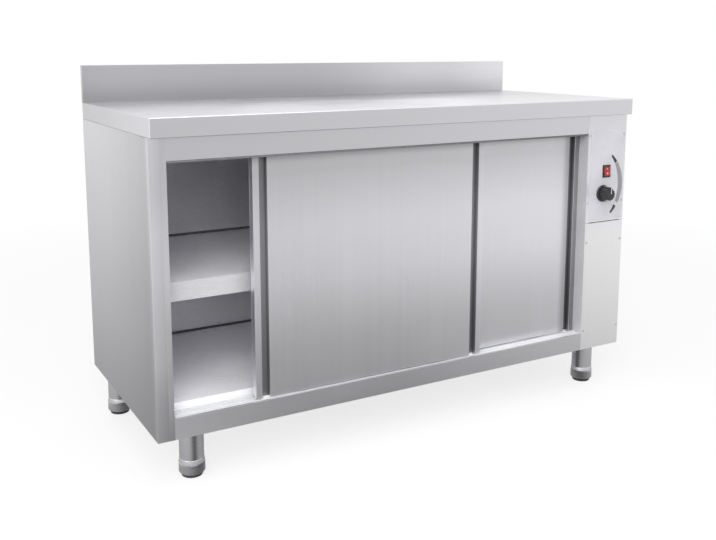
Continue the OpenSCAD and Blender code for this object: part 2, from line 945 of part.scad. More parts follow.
module door_skin(x, y) {
    color(steel)
        translate([x, y - door_t / 2, z_door_b])
            difference() {
                linear_extrude(door_h)
                    door_outline();
                translate([0, 0, sheet])
                    linear_extrude(door_h - 2 * sheet)
                        door_inside();
            }
}

module door_core(x, y) {
    color(wool)
        translate([x, y - door_t / 2, z_door_b + sheet])
            linear_extrude(door_h - 2 * sheet)
                door_inside();
}

module door_back(x, y) {
    color(dark_steel)
        block([x, x + door_w], [y + door_t / 2 - sheet, y + door_t / 2], [z_door_b, z_door_t]);
}

// Hanger: a plate on the door's top edge and a stem that holds the axle
plate_half = [30, 7];
stem_half = 12;
stem_over = 7;
axle_out = 0.6;

function hanger_x(x) = [x + hanger_in, x + door_w - hanger_in];

module door_hangers(x, y) {
    color("silver")
        for (h = hanger_x(x))
            difference() {
                union() {
                    block([h - plate_half[0], h + plate_half[0]], [y - plate_half[1], y + plate_half[1]],
                        [z_door_t, z_door_t + plate_t]);
                    block([h - stem_half, h + stem_half], [y - stem_t / 2, y + stem_t / 2],
                        [z_door_t, z_axle + stem_over]);
                }
                bar_y(axle_r + shaft_gap, h, [y - stem_t, y + stem_t], z_axle);
            }
}

module door_guides(x, y) {
    color(plastic)
        for (h = hanger_x(x))
            block([h - guide_l / 2, h + guide_l / 2], [y - slot_w / 2 + 1, y + slot_w / 2 - 1],
                [z_door_b - guide_reach, z_door_b]);
}

// A pair of wheels on one axle
module roller(x, y) {
    color([0.9, 0.9, 0.88]) {
        bar_y(roller_r, x, [y - wheel_out, y - wheel_in], z_axle);
        bar_y(roller_r, x, [y + wheel_in, y + wheel_out], z_axle);
        bar_y(axle_r, x, [y - wheel_out - axle_out, y + wheel_out + axle_out], z_axle);
    }
}

module left_door_skin() {
    door_skin(x_left_door, y_front_door);
}

module left_door_core() {
    door_core(x_left_door, y_front_door);
}

module left_door_back() {
    door_back(x_left_door, y_front_door);
}

module left_door_hangers() {
    door_hangers(x_left_door, y_front_door);
}

module left_door_guides() {
    door_guides(x_left_door, y_front_door);
}

module left_door_roller_a() {
    roller(hanger_x(x_left_door)[0], y_front_door);
}

module left_door_roller_b() {
    roller(hanger_x(x_left_door)[1], y_front_door);
}

module right_door_skin() {
    door_skin(x_right_door, y_rear_door);
}

module right_door_core() {
    door_core(x_right_door, y_rear_door);
}

module right_door_back() {
    door_back(x_right_door, y_rear_door);
}

module right_door_hangers() {
    door_hangers(x_right_door, y_rear_door);
}

module right_door_guides() {
    door_guides(x_right_door, y_rear_door);
}

module right_door_roller_a() {
    roller(hanger_x(x_right_door)[0], y_rear_door);
}

module right_door_roller_b() {
    roller(hanger_x(x_right_door)[1], y_rear_door);
}

worktop();
worktop_board();
upstand();
side_panel_left();
side_panel_right();
side_liner();
partition_liner();
partition_insulation();
back_panel();
back_liner();
ceiling_liner();
deck();
base_pan();
insulation();
top_rail();
bottom_rail();
jamb_left();
jamb_right();
top_track();
bottom_track();
track_stops();
mid_shelf();
shelf_supports();
column_cover();
control_panel();
scale_plate();
thermostat();
switch_bezel();
fan_motor();
fan_shroud();
heating_element();
air_grille();
terminal_block();
cable_gland();
wiring();
legs();
fasteners();
left_door_skin();
left_door_core();
left_door_back();
left_door_hangers();
left_door_guides();
right_door_skin();
right_door_core();
right_door_back();
right_door_hangers();
right_door_guides();
left_door_roller_a();
left_door_roller_b();
right_door_roller_a();
right_door_roller_b();
knob();
thermostat_shaft();
switch_rocker();
fan_impeller();
foot_front_left();
foot_front_right();
foot_rear_left();
foot_rear_right();
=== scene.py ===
import json
import math
import bpy
import bmesh
from mathutils import Matrix, Vector


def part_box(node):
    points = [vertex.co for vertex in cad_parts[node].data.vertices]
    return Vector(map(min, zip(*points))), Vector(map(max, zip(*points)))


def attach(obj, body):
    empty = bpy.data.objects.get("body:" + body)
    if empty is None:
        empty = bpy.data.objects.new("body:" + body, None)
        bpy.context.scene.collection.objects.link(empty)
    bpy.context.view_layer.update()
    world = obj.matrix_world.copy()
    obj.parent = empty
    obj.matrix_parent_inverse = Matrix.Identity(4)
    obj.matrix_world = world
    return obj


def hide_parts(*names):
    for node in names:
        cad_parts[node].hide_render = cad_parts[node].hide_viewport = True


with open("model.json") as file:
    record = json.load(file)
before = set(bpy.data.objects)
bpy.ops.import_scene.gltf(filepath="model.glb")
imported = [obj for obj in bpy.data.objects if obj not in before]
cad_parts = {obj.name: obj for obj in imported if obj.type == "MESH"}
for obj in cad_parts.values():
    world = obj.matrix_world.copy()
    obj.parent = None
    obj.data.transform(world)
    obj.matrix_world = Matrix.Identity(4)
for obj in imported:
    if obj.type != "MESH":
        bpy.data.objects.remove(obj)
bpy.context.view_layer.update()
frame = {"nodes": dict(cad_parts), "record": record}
record = frame["record"]
nodes = frame["nodes"]
bodyOf = {n: body for body, names in record["behaviour"]["bodies"].items() for n in names}
slotOf = {row["node"]: row["material_slot"] for row in record["subparts"]}
scene = bpy.context.scene
mm = 0.001
print("frame loaded:", len(nodes), "nodes")


# Material nodes

def put(tree, kind, inputs=None, **settings):
    made = tree.nodes.new("ShaderNode" + kind)
    for key, value in settings.items():
        setattr(made, key, value)
    for key, value in (inputs or {}).items():
        if isinstance(value, bpy.types.NodeSocket):
            tree.links.new(value, made.inputs[key])
        else:
            made.inputs[key].default_value = value
    return made


def startMaterial(name, metallic=0.0, roughness=0.5, **sockets):
    material = bpy.data.materials.new(name)
    material.use_nodes = True
    tree = material.node_tree
    shader = tree.nodes["Principled BSDF"]
    shader.inputs["Metallic"].default_value = metallic
    shader.inputs["Roughness"].default_value = roughness
    for key, value in sockets.items():
        shader.inputs[key.replace("_", " ")].default_value = value
    return material, tree, shader


def coordsOf(tree, scale=(1, 1, 1), turn=(0, 0, 0)):
    coords = put(tree, "TexCoord").outputs["Object"]
    return put(tree, "Mapping", {"Vector": coords, "Scale": scale, "Rotation": turn}).outputs["Vector"]


def noiseOf(tree, coords, scale=1.0, detail=2.0, roughness=0.5, distortion=0.0):
    return put(tree, "TexNoise", {"Vector": coords, "Scale": scale, "Detail": detail,
                                  "Roughness": roughness, "Distortion": distortion}).outputs["Fac"]


def spread(tree, value, low, high, fromLow=0.25, fromHigh=0.75):
    return put(tree, "MapRange", {"Value": value, "From Min": fromLow, "From Max": fromHigh,
                                  "To Min": low, "To Max": high}).outputs["Result"]


def maths(tree, operation, first, second):
    made = put(tree, "Math", {0: first, 1: second}, operation=operation)
    return made.outputs["Value"]


def tinted(tree, value, dark, light):
    made = put(tree, "Mix", {"Factor": value, "A": (*dark, 1), "B": (*light, 1)}, data_type="RGBA")
    return made.outputs["Result"]


def bumpOf(tree, shader, height, strength, distance):
    bump = put(tree, "Bump", {"Height": height, "Strength": strength, "Distance": distance})
    tree.links.new(bump.outputs["Normal"], shader.inputs["Normal"])


steelTint = (1.004, 1.0, 1.04)
grainAxis = {"x": (1, 0, 0), "z": (0, 0, 1)}
paintedGradientSpan = {"X": (-0.8, 0.8), "Y": (-0.5, 0.5), "Z": (0.0, 1.0)}
satin = {
    "tone": 0.7, "toneSpread": 0.03, "roughness": 0.33, "roughSpread": 0.07,
    "lineLength": 5, "lineWidth": 1300, "bandLength": 0.9, "bandWidth": 55,
    "bumpStrength": 0.18, "bumpDepth": 0.00004, "anisotropy": 0.35,
}


def multiplied(tree, colour, share):
    return put(tree, "Mix", {"Factor": 1.0, "A": colour, "B": share},
               data_type="RGBA", blend_type="MULTIPLY").outputs["Result"]


# Paints light and shade into a colour: ramps along the object's X, Y or Z scale the tone, as painted
# shade and painted reflection.
def shaded(tree, colour, paintedGradients):
    for axis, stops in (paintedGradients or {}).items():
        low, high = paintedGradientSpan[axis]
        place = put(tree, "SeparateXYZ", {"Vector": coordsOf(tree)}).outputs[axis]
        ramp = put(tree, "ValToRGB", {"Fac": spread(tree, place, 0, 1, low, high)})
        ramp.color_ramp.interpolation = "CARDINAL"
        elements = ramp.color_ramp.elements
        while len(elements) < len(stops):
            elements.new(0.5)
        for element, (at, share) in zip(elements, stops):
            element.position = (at - low) / (high - low)
            element.color = (share, share, share, 1)
        colour = multiplied(tree, colour, ramp.outputs["Color"])
    return colour


# Darkens a colour by the float attribute on the vertices: painted shade, and painted light where the
# attribute is below zero.
def deepened(tree, colour):
    paintedShadeShare = put(tree, "Attribute", attribute_name="paintedShadeShare").outputs["Fac"]
    return multiplied(tree, colour, maths(tree, "SUBTRACT", 1.0, paintedShadeShare))


def averaged(tree, first, second, share=0.5):
    return maths(tree, "MULTIPLY", maths(tree, "ADD", first, second), share)


def brushedSteel(name, grain, paintedGradients=None, **changes):
    look = {**satin, **changes}
    material, tree, shader = startMaterial(name, 1.0, look["roughness"],
                                           Anisotropic=look["anisotropy"])
    along = Vector(grainAxis[grain])
    across = Vector((1, 1, 1)) - along
    lineScale = along * look["lineLength"] + across * look["lineWidth"]
    bandScale = along * look["bandLength"] + across * look["bandWidth"]
    lines = noiseOf(tree, coordsOf(tree, lineScale), 1, 2, 0.6)
    bands = noiseOf(tree, coordsOf(tree, bandScale), 1, 4, 0.6)
    clouds = noiseOf(tree, coordsOf(tree), 3.2, 3, 0.55)
    mixed = averaged(tree, maths(tree, "ADD", lines, bands), clouds, 1 / 3)
    dark, light = look["tone"] * (1 - look["toneSpread"]), look["tone"] * (1 + look["toneSpread"])
    colour = tinted(tree, spread(tree, mixed, 0, 1, 0.35, 0.65),
                    [dark * t for t in steelTint], [light * t for t in steelTint])
    tree.links.new(deepened(tree, shaded(tree, colour, paintedGradients)), shader.inputs["Base Color"])
    smoothest = look["roughness"] - look["roughSpread"]
    roughest = look["roughness"] + look["roughSpread"]
    rough = spread(tree, averaged(tree, bands, clouds), smoothest, roughest, 0.35, 0.65)
    tree.links.new(rough, shader.inputs["Roughness"])
    bumpOf(tree, shader, lines, look["bumpStrength"], look["bumpDepth"])
    return material


def millSteel(name, tone, roughness, metallic=1.0, paintedGradients=None):
    material, tree, shader = startMaterial(name, metallic, roughness)
    clouds = noiseOf(tree, coordsOf(tree), 5, 4, 0.6, 0.4)
    grit = noiseOf(tree, coordsOf(tree, (60, 260, 260)), 1, 3, 0.6)
    share = spread(tree, averaged(tree, clouds, grit), 0, 1, 0.38, 0.62)
    dark, light = tone * 0.93, tone * 1.06
    colour = tinted(tree, share, [dark * t for t in steelTint], [light * t for t in steelTint])
    tree.links.new(shaded(tree, colour, paintedGradients), shader.inputs["Base Color"])
    rough = spread(tree, clouds, roughness - 0.06, roughness + 0.08, 0.35, 0.65)
    tree.links.new(rough, shader.inputs["Roughness"])
    bumpOf(tree, shader, grit, 0.12, 0.00005)
    return material


def drawnAluminium(name, metallic=1.0, tone=0.69):
    material, tree, shader = startMaterial(name, metallic, 0.32)
    lines = noiseOf(tree, coordsOf(tree, (1.5, 2400, 2400)), 1, 3, 0.6)
    dark = (tone * 0.88, tone * 0.885, tone * 0.9)
    light = (tone * 1.1, tone * 1.11, tone * 1.13)
    tree.links.new(tinted(tree, lines, dark, light), shader.inputs["Base Color"])
    tree.links.new(spread(tree, lines, 0.26, 0.42), shader.inputs["Roughness"])
    bumpOf(tree, shader, lines, 0.2, 0.00003)
    return material


def zincSteel(name, tone=0.62):
    material, tree, shader = startMaterial(name, 1.0, 0.38)
    spangle = put(tree, "TexVoronoi", {"Vector": coordsOf(tree), "Scale": 260.0}).outputs["Distance"]
    haze = noiseOf(tree, coordsOf(tree), 40, 3)
    share = averaged(tree, spangle, haze, 0.6)
    dark = (tone * 0.88, tone * 0.9, tone * 0.92)
    light = (tone * 1.08, tone * 1.09, tone * 1.12)
    tree.links.new(tinted(tree, share, dark, light), shader.inputs["Base Color"])
    tree.links.new(spread(tree, spangle, 0.3, 0.46, 0.1, 0.6), shader.inputs["Roughness"])
    bumpOf(tree, shader, haze, 0.1, 0.00005)
    return material


def turnedSteel(name, tone=0.5, roughness=0.3):
    material, tree, shader = startMaterial(name, 1.0, roughness)
    rings = noiseOf(tree, coordsOf(tree, (8, 8, 2600)), 1, 2, 0.6)
    haze = noiseOf(tree, coordsOf(tree), 30, 3)
    colour = tinted(tree, averaged(tree, rings, haze),
                    [tone * 0.9 * t for t in steelTint], [tone * 1.1 * t for t in steelTint])
    tree.links.new(deepened(tree, colour), shader.inputs["Base Color"])
    rough = spread(tree, haze, roughness - 0.05, roughness + 0.08)
    tree.links.new(rough, shader.inputs["Roughness"])
    bumpOf(tree, shader, rings, 0.25, 0.00004)
    return material


def mouldedPlastic(name, colour, roughness, grain=900.0, depth=0.00003, **sockets):
    material, tree, shader = startMaterial(name, 0.0, roughness, **sockets)
    skin = noiseOf(tree, coordsOf(tree), grain, 2, 0.6)
    haze = noiseOf(tree, coordsOf(tree), 45, 3)
    dark = [c * 0.86 for c in colour]
    light = [min(1.0, c * 1.12 + 0.002) for c in colour]
    tree.links.new(tinted(tree, spread(tree, haze, 0, 1), dark, light), shader.inputs["Base Color"])
    rough = spread(tree, haze, roughness - 0.05, roughness + 0.07)
    tree.links.new(rough, shader.inputs["Roughness"])
    bumpOf(tree, shader, skin, 0.35, depth)
    return material


def softRubber(name):
    return mouldedPlastic(name, (0.035, 0.035, 0.037), 0.8, 500.0, 0.0001)


def mineralWool(name):
    material, tree, shader = startMaterial(name, 0.0, 0.95)
    fibres = noiseOf(tree, coordsOf(tree, (90, 90, 420)), 1, 5, 0.7, 1.4)
    clumps = noiseOf(tree, coordsOf(tree), 22, 4, 0.6)
    share = spread(tree, averaged(tree, fibres, clumps), 0, 1, 0.36, 0.64)
    colour = tinted(tree, share, (0.42, 0.34, 0.14), (0.78, 0.68, 0.36))
    tree.links.new(colour, shader.inputs["Base Color"])
    bumpOf(tree, shader, fibres, 0.8, 0.0008)
    return material


def pressedBoard(name):
    material, tree, shader = startMaterial(name, 0.0, 0.8)
    chips = put(tree, "TexVoronoi", {"Vector": coordsOf(tree, (220, 220, 420)), "Scale": 1.0,
                                     "Randomness": 1.0}).outputs["Color"]
    grey = put(tree, "SeparateXYZ", {"Vector": chips}).outputs["X"]
    colour = tinted(tree, grey, (0.36, 0.24, 0.12), (0.68, 0.54, 0.34))
    tree.links.new(colour, shader.inputs["Base Color"])
    bumpOf(tree, shader, grey, 0.4, 0.0002)
    return material


def printedFilm(name):
    material, tree, shader = startMaterial(name, 0.0, 0.42, Coat_Weight=0.25, Coat_Roughness=0.2)
    fleck = noiseOf(tree, coordsOf(tree), 700, 2)
    haze = noiseOf(tree, coordsOf(tree), 18, 3)
    share = spread(tree, averaged(tree, fleck, haze), 0, 1, 0.36, 0.64)
    colour = tinted(tree, share, (0.47, 0.47, 0.505), (0.545, 0.545, 0.575))
    tree.links.new(colour, shader.inputs["Base Color"])
    tree.links.new(spread(tree, haze, 0.36, 0.5), shader.inputs["Roughness"])
    bumpOf(tree, shader, fleck, 0.15, 0.00003)
    return material


def printedInk(name, colour):
    material, tree, shader = startMaterial(name, 0.0, 0.5)
    screen = noiseOf(tree, coordsOf(tree), 1500, 2)
    light = [min(1.0, c * 1.3 + 0.02) for c in colour]
    tree.links.new(tinted(tree, spread(tree, screen, 0, 1), colour, light), shader.inputs["Base Color"])
    bumpOf(tree, shader, screen, 0.2, 0.00001)
    return material


def heatedTube(name):
    material, tree, shader = startMaterial(name, 1.0, 0.42)
    tint = noiseOf(tree, coordsOf(tree), 28, 3, 0.5, 0.6)
    ramp = put(tree, "ValToRGB", {"Fac": tint})
    ramp.color_ramp.elements[0].position = 0.3
    ramp.color_ramp.elements[0].color = (0.14, 0.13, 0.15, 1)
    ramp.color_ramp.elements[1].position = 0.72
    ramp.color_ramp.elements[1].color = (0.42, 0.36, 0.3, 1)
    tree.links.new(ramp.outputs["Color"], shader.inputs["Base Color"])
    scale = noiseOf(tree, coordsOf(tree), 600, 3)
    bumpOf(tree, shader, scale, 0.3, 0.00005)
    return material


def leadSheath(name):
    material, tree, shader = startMaterial(name, 0.0, 0.55)
    weave = put(tree, "TexWave", {"Vector": coordsOf(tree), "Scale": 420.0,
                                  "Distortion": 1.5}).outputs["Fac"]
    colour = tinted(tree, weave, (0.28, 0.05, 0.03), (0.5, 0.13, 0.09))
    tree.links.new(colour, shader.inputs["Base Color"])
    bumpOf(tree, shader, weave, 0.4, 0.0001)
    return material


# Materials. The shade tables paint light and shade into the sheets' colour: each entry is the share of
# a sheet's tone at a place in metres, painted shade and painted reflection, as the photograph shows it

# Worktop: painted reflection, darker towards the rear.
topPaintedGradients = {"Y": [(-0.3, 1.0), (0.0, 0.9), (0.16, 0.83), (0.29, 0.82)]}
# Sides: painted shade, darker towards the bottom, and a darker painted reflection band just behind the
# front corner.
sidePaintedGradients = {
    "Z": [(0.13, 0.8), (0.3, 0.84), (0.5, 0.88), (0.7, 0.95), (0.79, 1.0)],
    "Y": [(-0.282, 1.0), (-0.274, 1.0), (-0.264, 0.86), (-0.24, 0.82), (-0.2, 0.86), (-0.1, 0.92),
          (0.12, 1.0)],
}
# Stile and left jamb: painted shade near the bottom and painted light in the middle.
stilePaintedGradients = {"Z": [(0.13, 0.54), (0.2, 0.74), (0.3, 0.84), (0.4, 0.88), (0.5, 1.0), (0.6, 0.94),
                     (0.7, 0.82), (0.79, 0.8)]}
# Doors: painted reflection, lightest in the middle and darker towards the bottom and top, with a
# painted shadow under the top rail.
doorPaintedGradients = {"Z": [(0.17, 0.79), (0.3, 0.81), (0.42, 0.94), (0.5, 0.98), (0.6, 0.93), (0.7, 0.74),
                    (0.735, 0.66), (0.75, 0.42)]}
# Upstand: painted reflection, darker at its foot and towards the left end.
upstandPaintedGradients = {
    "Z": [(0.86, 0.74), (0.89, 0.88), (0.93, 1.0)],
    "X": [(-0.68, 0.62), (0.0, 0.64), (0.3, 0.8), (0.5, 0.84), (0.68, 0.94)],
}
# Shelf: painted shade on its front edge.
shelfPaintedGradients = {"Y": [(-0.2155, 0.56), (-0.2135, 0.58), (-0.2115, 1.0), (0.25, 1.0)]}
# Column: painted shade, darker towards the top.
columnPaintedGradients = {"Z": [(0.13, 1.0), (0.45, 1.0), (0.52, 0.93), (0.7, 0.9), (0.79, 0.8)]}
# Rear liner: painted shade above the shelf, lighter below it.
backPaintedGradients = {"Z": [(0.2, 1.0), (0.42, 1.0), (0.5, 0.7), (0.78, 0.7)]}
steelX = brushedSteel("satinSteelAlong", "x", tone=0.74)
steelStile = brushedSteel("satinSteelStile", "z", stilePaintedGradients, tone=0.9)
steelTop = brushedSteel("satinSteelWorktop", "x", topPaintedGradients, tone=0.76)
steelSide = brushedSteel("satinSteelSide", "z", sidePaintedGradients, tone=0.72)
steelDoor = brushedSteel("satinSteelDoor", "z", doorPaintedGradients, tone=0.96)
steelColumn = brushedSteel("satinSteelColumn", "z", columnPaintedGradients, tone=1.0)
steelUpstand = brushedSteel("satinSteelUpstand", "x", upstandPaintedGradients, tone=0.96)
steelBack = brushedSteel("satinSteelBack", "x")
linerSteel = millSteel("linerSteel", 0.74, 0.42, 0.5)
backSteel = millSteel("backSteel", 1.0, 0.42, 0.5, backPaintedGradients)
deckSteel = millSteel("deckSteel", 0.95, 0.4, 0.15)
shelfSteel = millSteel("shelfSteel", 0.86, 0.4, 0.3, shelfPaintedGradients)
jambSteel = millSteel("jambSteel", 0.62, 0.4, 0.4)
slotMaterial = {
    "satin_steel": steelX,
    "inner_steel": linerSteel,
    "chipboard": pressedBoard("pressedBoard"),
    "mineral_wool": mineralWool("mineralWool"),
    "track_aluminium": drawnAluminium("drawnAluminium"),
    "rubber": softRubber("softRubber"),
    "printed_plate": printedFilm("printedFilm"),
    "black_plastic": mouldedPlastic("blackPlastic", (0.02, 0.02, 0.022), 0.38),
    "red_plastic": mouldedPlastic("redPlastic", (0.26, 0.012, 0.012), 0.28, 300.0, 0.00001,
                                  Coat_Weight=0.4),
    "zinc_steel": zincSteel("zincSteel"),
    "heater_steel": heatedTube("heatedTube"),
    "terminal_plastic": mouldedPlastic("terminalPlastic", (0.78, 0.77, 0.7), 0.5),
    "lead_sheath": leadSheath("leadSheath"),
    "leg_steel": turnedSteel("legSteel", 0.72, 0.24),
    "foot_steel": turnedSteel("footSteel", 0.62, 0.3),
    "nylon": mouldedPlastic("nylon", (0.78, 0.77, 0.72), 0.45, 700.0),
}
whiteInk = printedInk("whiteInk", (0.8, 0.8, 0.8))
greyInk = printedInk("greyInk", (0.2, 0.2, 0.21))
softGreyInk = printedInk("softGreyInk", (0.2, 0.2, 0.21))
blackInk = printedInk("blackInk", (0.02, 0.02, 0.02))
ringSteel = turnedSteel("ringSteel", 0.86, 0.16)
zincBright = zincSteel("zincBright", 0.74)
# Dark grey for the painted shadow beads and strip.
paintedShadowGrey = mouldedPlastic("paintedShadowGrey", (0.12, 0.12, 0.128), 0.7, 500.0, 0.0001)
panelMaterial = {
    "worktop": steelTop, "upstand": steelUpstand,
    "side_panel_left": steelSide, "side_panel_right": steelSide, "back_panel": steelBack,
    "top_rail": steelX, "bottom_rail": steelX, "jamb_left": steelStile, "jamb_right": jambSteel,
    "column_cover": steelColumn, "control_panel": steelColumn,
    "left_door_skin": steelDoor, "right_door_skin": steelDoor,
    "deck": deckSteel, "mid_shelf": shelfSteel, "side_liner": deckSteel, "ceiling_liner": deckSteel,
    "back_liner": backSteel, "bottom_track": drawnAluminium("brightTrack", 0.2, 0.9),
}
for nodeName, node in nodes.items():
    node.data.materials.clear()
    node.data.materials.append(panelMaterial.get(nodeName, slotMaterial[slotOf[nodeName]]))
print("materials made")


# Mesh helpers

def finishPiece(bm, name, material, rides, stands=(), smooth=40, even=True):
    mesh = bpy.data.meshes.new(name)
    bm.to_mesh(mesh)
    bm.free()
    if "custom_normal" in mesh.attributes:
        mesh.attributes.remove(mesh.attributes["custom_normal"])
    mesh.shade_smooth()
    mesh.set_sharp_from_angle(angle=math.radians(smooth))
    mesh.materials.append(material)
    piece = bpy.data.objects.new(name, mesh)
    scene.collection.objects.link(piece)
    if even:
        normals = piece.modifiers.new("evenShading", "WEIGHTED_NORMAL")
        normals.keep_sharp = True
        normals.weight = 100
    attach(piece, rides)
    if stands:
        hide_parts(*stands)
    return piece


merging = {"distance": 0.00001, "fine": 0.000001, "flatDegrees": 0.4}
fold = {"turn": 0.7, "reach": 4.0, "segments": 4, "rim": 0.25, "rimTurn": 1.2, "rimShortest": 0.6}


def mergedCopy(node):
    bm = bmesh.new()
    bm.from_mesh(nodes[node].data)
    bmesh.ops.remove_doubles(bm, verts=bm.verts, dist=merging["distance"])
    bmesh.ops.dissolve_limit(bm, angle_limit=math.radians(merging["flatDegrees"]),
                             verts=bm.verts, edges=bm.edges)
    return bm


def isCorner(edge, turn):
    return len(edge.link_faces) == 2 and edge.is_convex and edge.calc_face_angle(0) > turn


def isFold(edge):
    if len(edge.link_faces) != 2 or not edge.is_convex or edge.calc_face_angle(0) < fold["turn"]:
        return False
    start = edge.verts[0].co
    line = (edge.verts[1].co - start).normalized()
    for face in edge.link_faces:
        away = max((v.co - start - line * line.dot(v.co - start)).length for v in face.verts)
        if away < fold["reach"] * mm:
            return False
    return True


def roundEdges(bm, edges, radius, segments):
    bmesh.ops.bevel(bm, geom=list(edges), offset=radius, offset_type="OFFSET", segments=segments,
                    profile=0.5, affect="EDGES", clamp_overlap=True, material=-1)


def foldedCopy(node, name, radius):
    bm = mergedCopy(node)
    roundEdges(bm, [e for e in bm.edges if isFold(e)], radius * mm, fold["segments"])
    sharp = [e for e in bm.edges if isCorner(e, fold["rimTurn"])
             and e.calc_length() > fold["rimShortest"] * mm]
    roundEdges(bm, sharp, fold["rim"] * mm, 1)
    for axis, at in cuts.get(node, ()):
        plane = Vector([at * (axis == letter) for letter in "XYZ"])
        bmesh.ops.bisect_plane(bm, geom=bm.verts[:] + bm.edges[:] + bm.faces[:],
                               dist=merging["fine"], plane_co=plane, plane_no=plane.normalized())
    if node in paintedShadeAt:
        layer = bm.verts.layers.float.new("paintedShadeShare")
        for vert in bm.verts:
            vert[layer] = paintedShadeAt[node](vert.co)
    return finishPiece(bm, name, panelMaterial[node], bodyOf[node], [node])


# Folded sheets. A float attribute on the vertices holds the share of its tone that a place loses:
# painted shade, and painted light where it is below zero

# Door finger channels: painted shadow on the channel floors, painted shade on the right door's outer
# lip and fading over the face next to it, and a slight painted highlight on the left door's right lip.
channelShading = {
    "lip": 16.0, "wide": 20.0, "margin": 0.9, "under": 6.0, "floor": 0.62, "shadedFloor": 0.7,
    "shadedLip": 0.55, "brightLip": -0.04, "fade": (62.0, 44.0), "fadeMargin": 1.0, "fadeShadeShare": 0.35,
}
# Stile front: painted shade near the bottom and painted light above, by height, and a painted highlight
# on the fold at the side.
stile = {
    "side": -699.97, "back": -278.9, "fold": -699.4, "ridge": -0.2,
    "stops": [(0.14, 0.2), (0.2, 0.09), (0.3, -0.18), (0.4, -0.22), (0.5, -0.31), (0.6, -0.28),
              (0.7, -0.07), (0.79, -0.04)],
}


def doorDepth(node):
    low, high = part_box(node)
    shadedEnd = node == "right_door_skin"

    def depth(place):
        fromLeft, fromRight = (place.x - low[0]) / mm, (high[0] - place.x) / mm
        inFrom = min(fromLeft, fromRight)
        atRight = fromRight < fromLeft
        shadedHere = shadedEnd and atRight
        if inFrom > channelShading["lip"] + channelShading["wide"] + channelShading["margin"]:
            faded = shadedHere and inFrom < channelShading["fade"][1] + channelShading["fadeMargin"]
            return channelShading["fadeShadeShare"] if faded else 0.0
        if inFrom > channelShading["lip"] - channelShading["margin"]:
            if (place.y - low[1]) / mm > channelShading["under"]:
                return channelShading["shadedFloor"] if shadedHere else channelShading["floor"]
            return 0.0
        if shadedHere:
            return channelShading["shadedLip"]
        return channelShading["brightLip"] if atRight else 0.0

    return depth


def stileDepth(place):
    if place.x < stile["side"] * mm or place.y > stile["back"] * mm:
        return 0.0
    stops = stile["stops"]
    height = min(max(place.z, stops[0][0]), stops[-1][0])
    for (low, first), (high, second) in zip(stops, stops[1:]):
        if height <= high:
            depth = first + (second - first) * (height - low) / (high - low)
            return depth + (stile["ridge"] if place.x < stile["fold"] * mm else 0.0)


# Painted shade and light for the doors and the left side's stile.
paintedShadeAt = {
    "left_door_skin": doorDepth("left_door_skin"), "right_door_skin": doorDepth("right_door_skin"),
    "side_panel_left": stileDepth,
}
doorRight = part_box("right_door_skin")[1][0]
# Extra cuts give the painted shade more vertices: along the stile's height and near the right door's
# right end.
cuts = {
    "side_panel_left": [("Z", height) for height, depth in stile["stops"][1:-1]],
    "right_door_skin": [("X", doorRight - back * mm) for back in channelShading["fade"]],
}
sheets = {
    "worktop": ("worktopSheet", 2.2), "upstand": ("upstandFold", 2.0),
    "side_panel_left": ("leftSide", 2.0), "side_panel_right": ("rightSide", 2.0),
    "top_rail": ("topRail", 1.2), "bottom_rail": ("bottomRail", 1.2),
    "jamb_left": ("leftJamb", 1.5), "jamb_right": ("rightJamb", 1.5),
    "mid_shelf": ("middleShelf", 1.8), "column_cover": ("columnCover", 2.2),
    "control_panel": ("controlPanel", 2.2), "deck": ("deckSheet", 1.5),
    "left_door_skin": ("leftDoorFace", 1.6), "right_door_skin": ("rightDoorFace", 1.6),
}
for nodeName, (pieceName, foldRadius) in sheets.items():
    foldedCopy(nodeName, pieceName, foldRadius)
    print("sheet", pieceName)


# Turned and joined shapes

def turned(section, steps=64, closed=False):
    bm = bmesh.new()
    points = [bm.verts.new((radius * mm, 0, height * mm)) for radius, height in section]
    pairs = list(zip(points, points[1:]))
    if closed:
        pairs.append((points[-1], points[0]))
    edges = [bm.edges.new(pair) for pair in pairs]
    bmesh.ops.spin(bm, geom=points + edges, cent=(0, 0, 0), axis=(0, 0, 1), angle=math.tau,
                   steps=steps, use_merge=True)
    bmesh.ops.remove_doubles(bm, verts=bm.verts, dist=merging["fine"])
    bmesh.ops.recalc_face_normals(bm, faces=bm.faces)
    return bm


def softened(bm, radius, segments=3, over=25):
    turns = [e for e in bm.edges
             if len(e.link_faces) == 2 and e.calc_face_angle(0) > math.radians(over)]
    roundEdges(bm, turns, radius * mm, segments)
    return bm


def slab(wide, deep, high, corner=0.0, rim=0.3, middle=(0, 0, 0)):
    bm = bmesh.new()
    bmesh.ops.create_cube(bm, size=mm)
    bmesh.ops.scale(bm, vec=(wide, deep, high), verts=bm.verts)
    if corner:
        upright = [e for e in bm.edges if abs(e.verts[0].co.z - e.verts[1].co.z) > high * mm / 2]
        roundEdges(bm, upright, corner * mm, 6)
    softened(bm, rim, 2, 60)
    bmesh.ops.translate(bm, vec=Vector(middle) * mm, verts=bm.verts)
    return bm


def joined(bm, extra, matrix=None):
    bmesh.ops.transform(extra, matrix=matrix or Matrix(), verts=extra.verts)
    carrier = bpy.data.meshes.new("carrier")
    extra.to_mesh(carrier)
    extra.free()
    bm.from_mesh(carrier)
    bpy.data.meshes.remove(carrier)
    return bm


def middleOf(node):
    low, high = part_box(node)
    return (Vector(low) + Vector(high)) / 2


def frontPlace(x, y, z):
    return Matrix.Translation((x, y, z)) @ Matrix.Rotation(math.radians(90), 4, "X")


# Legs and feet

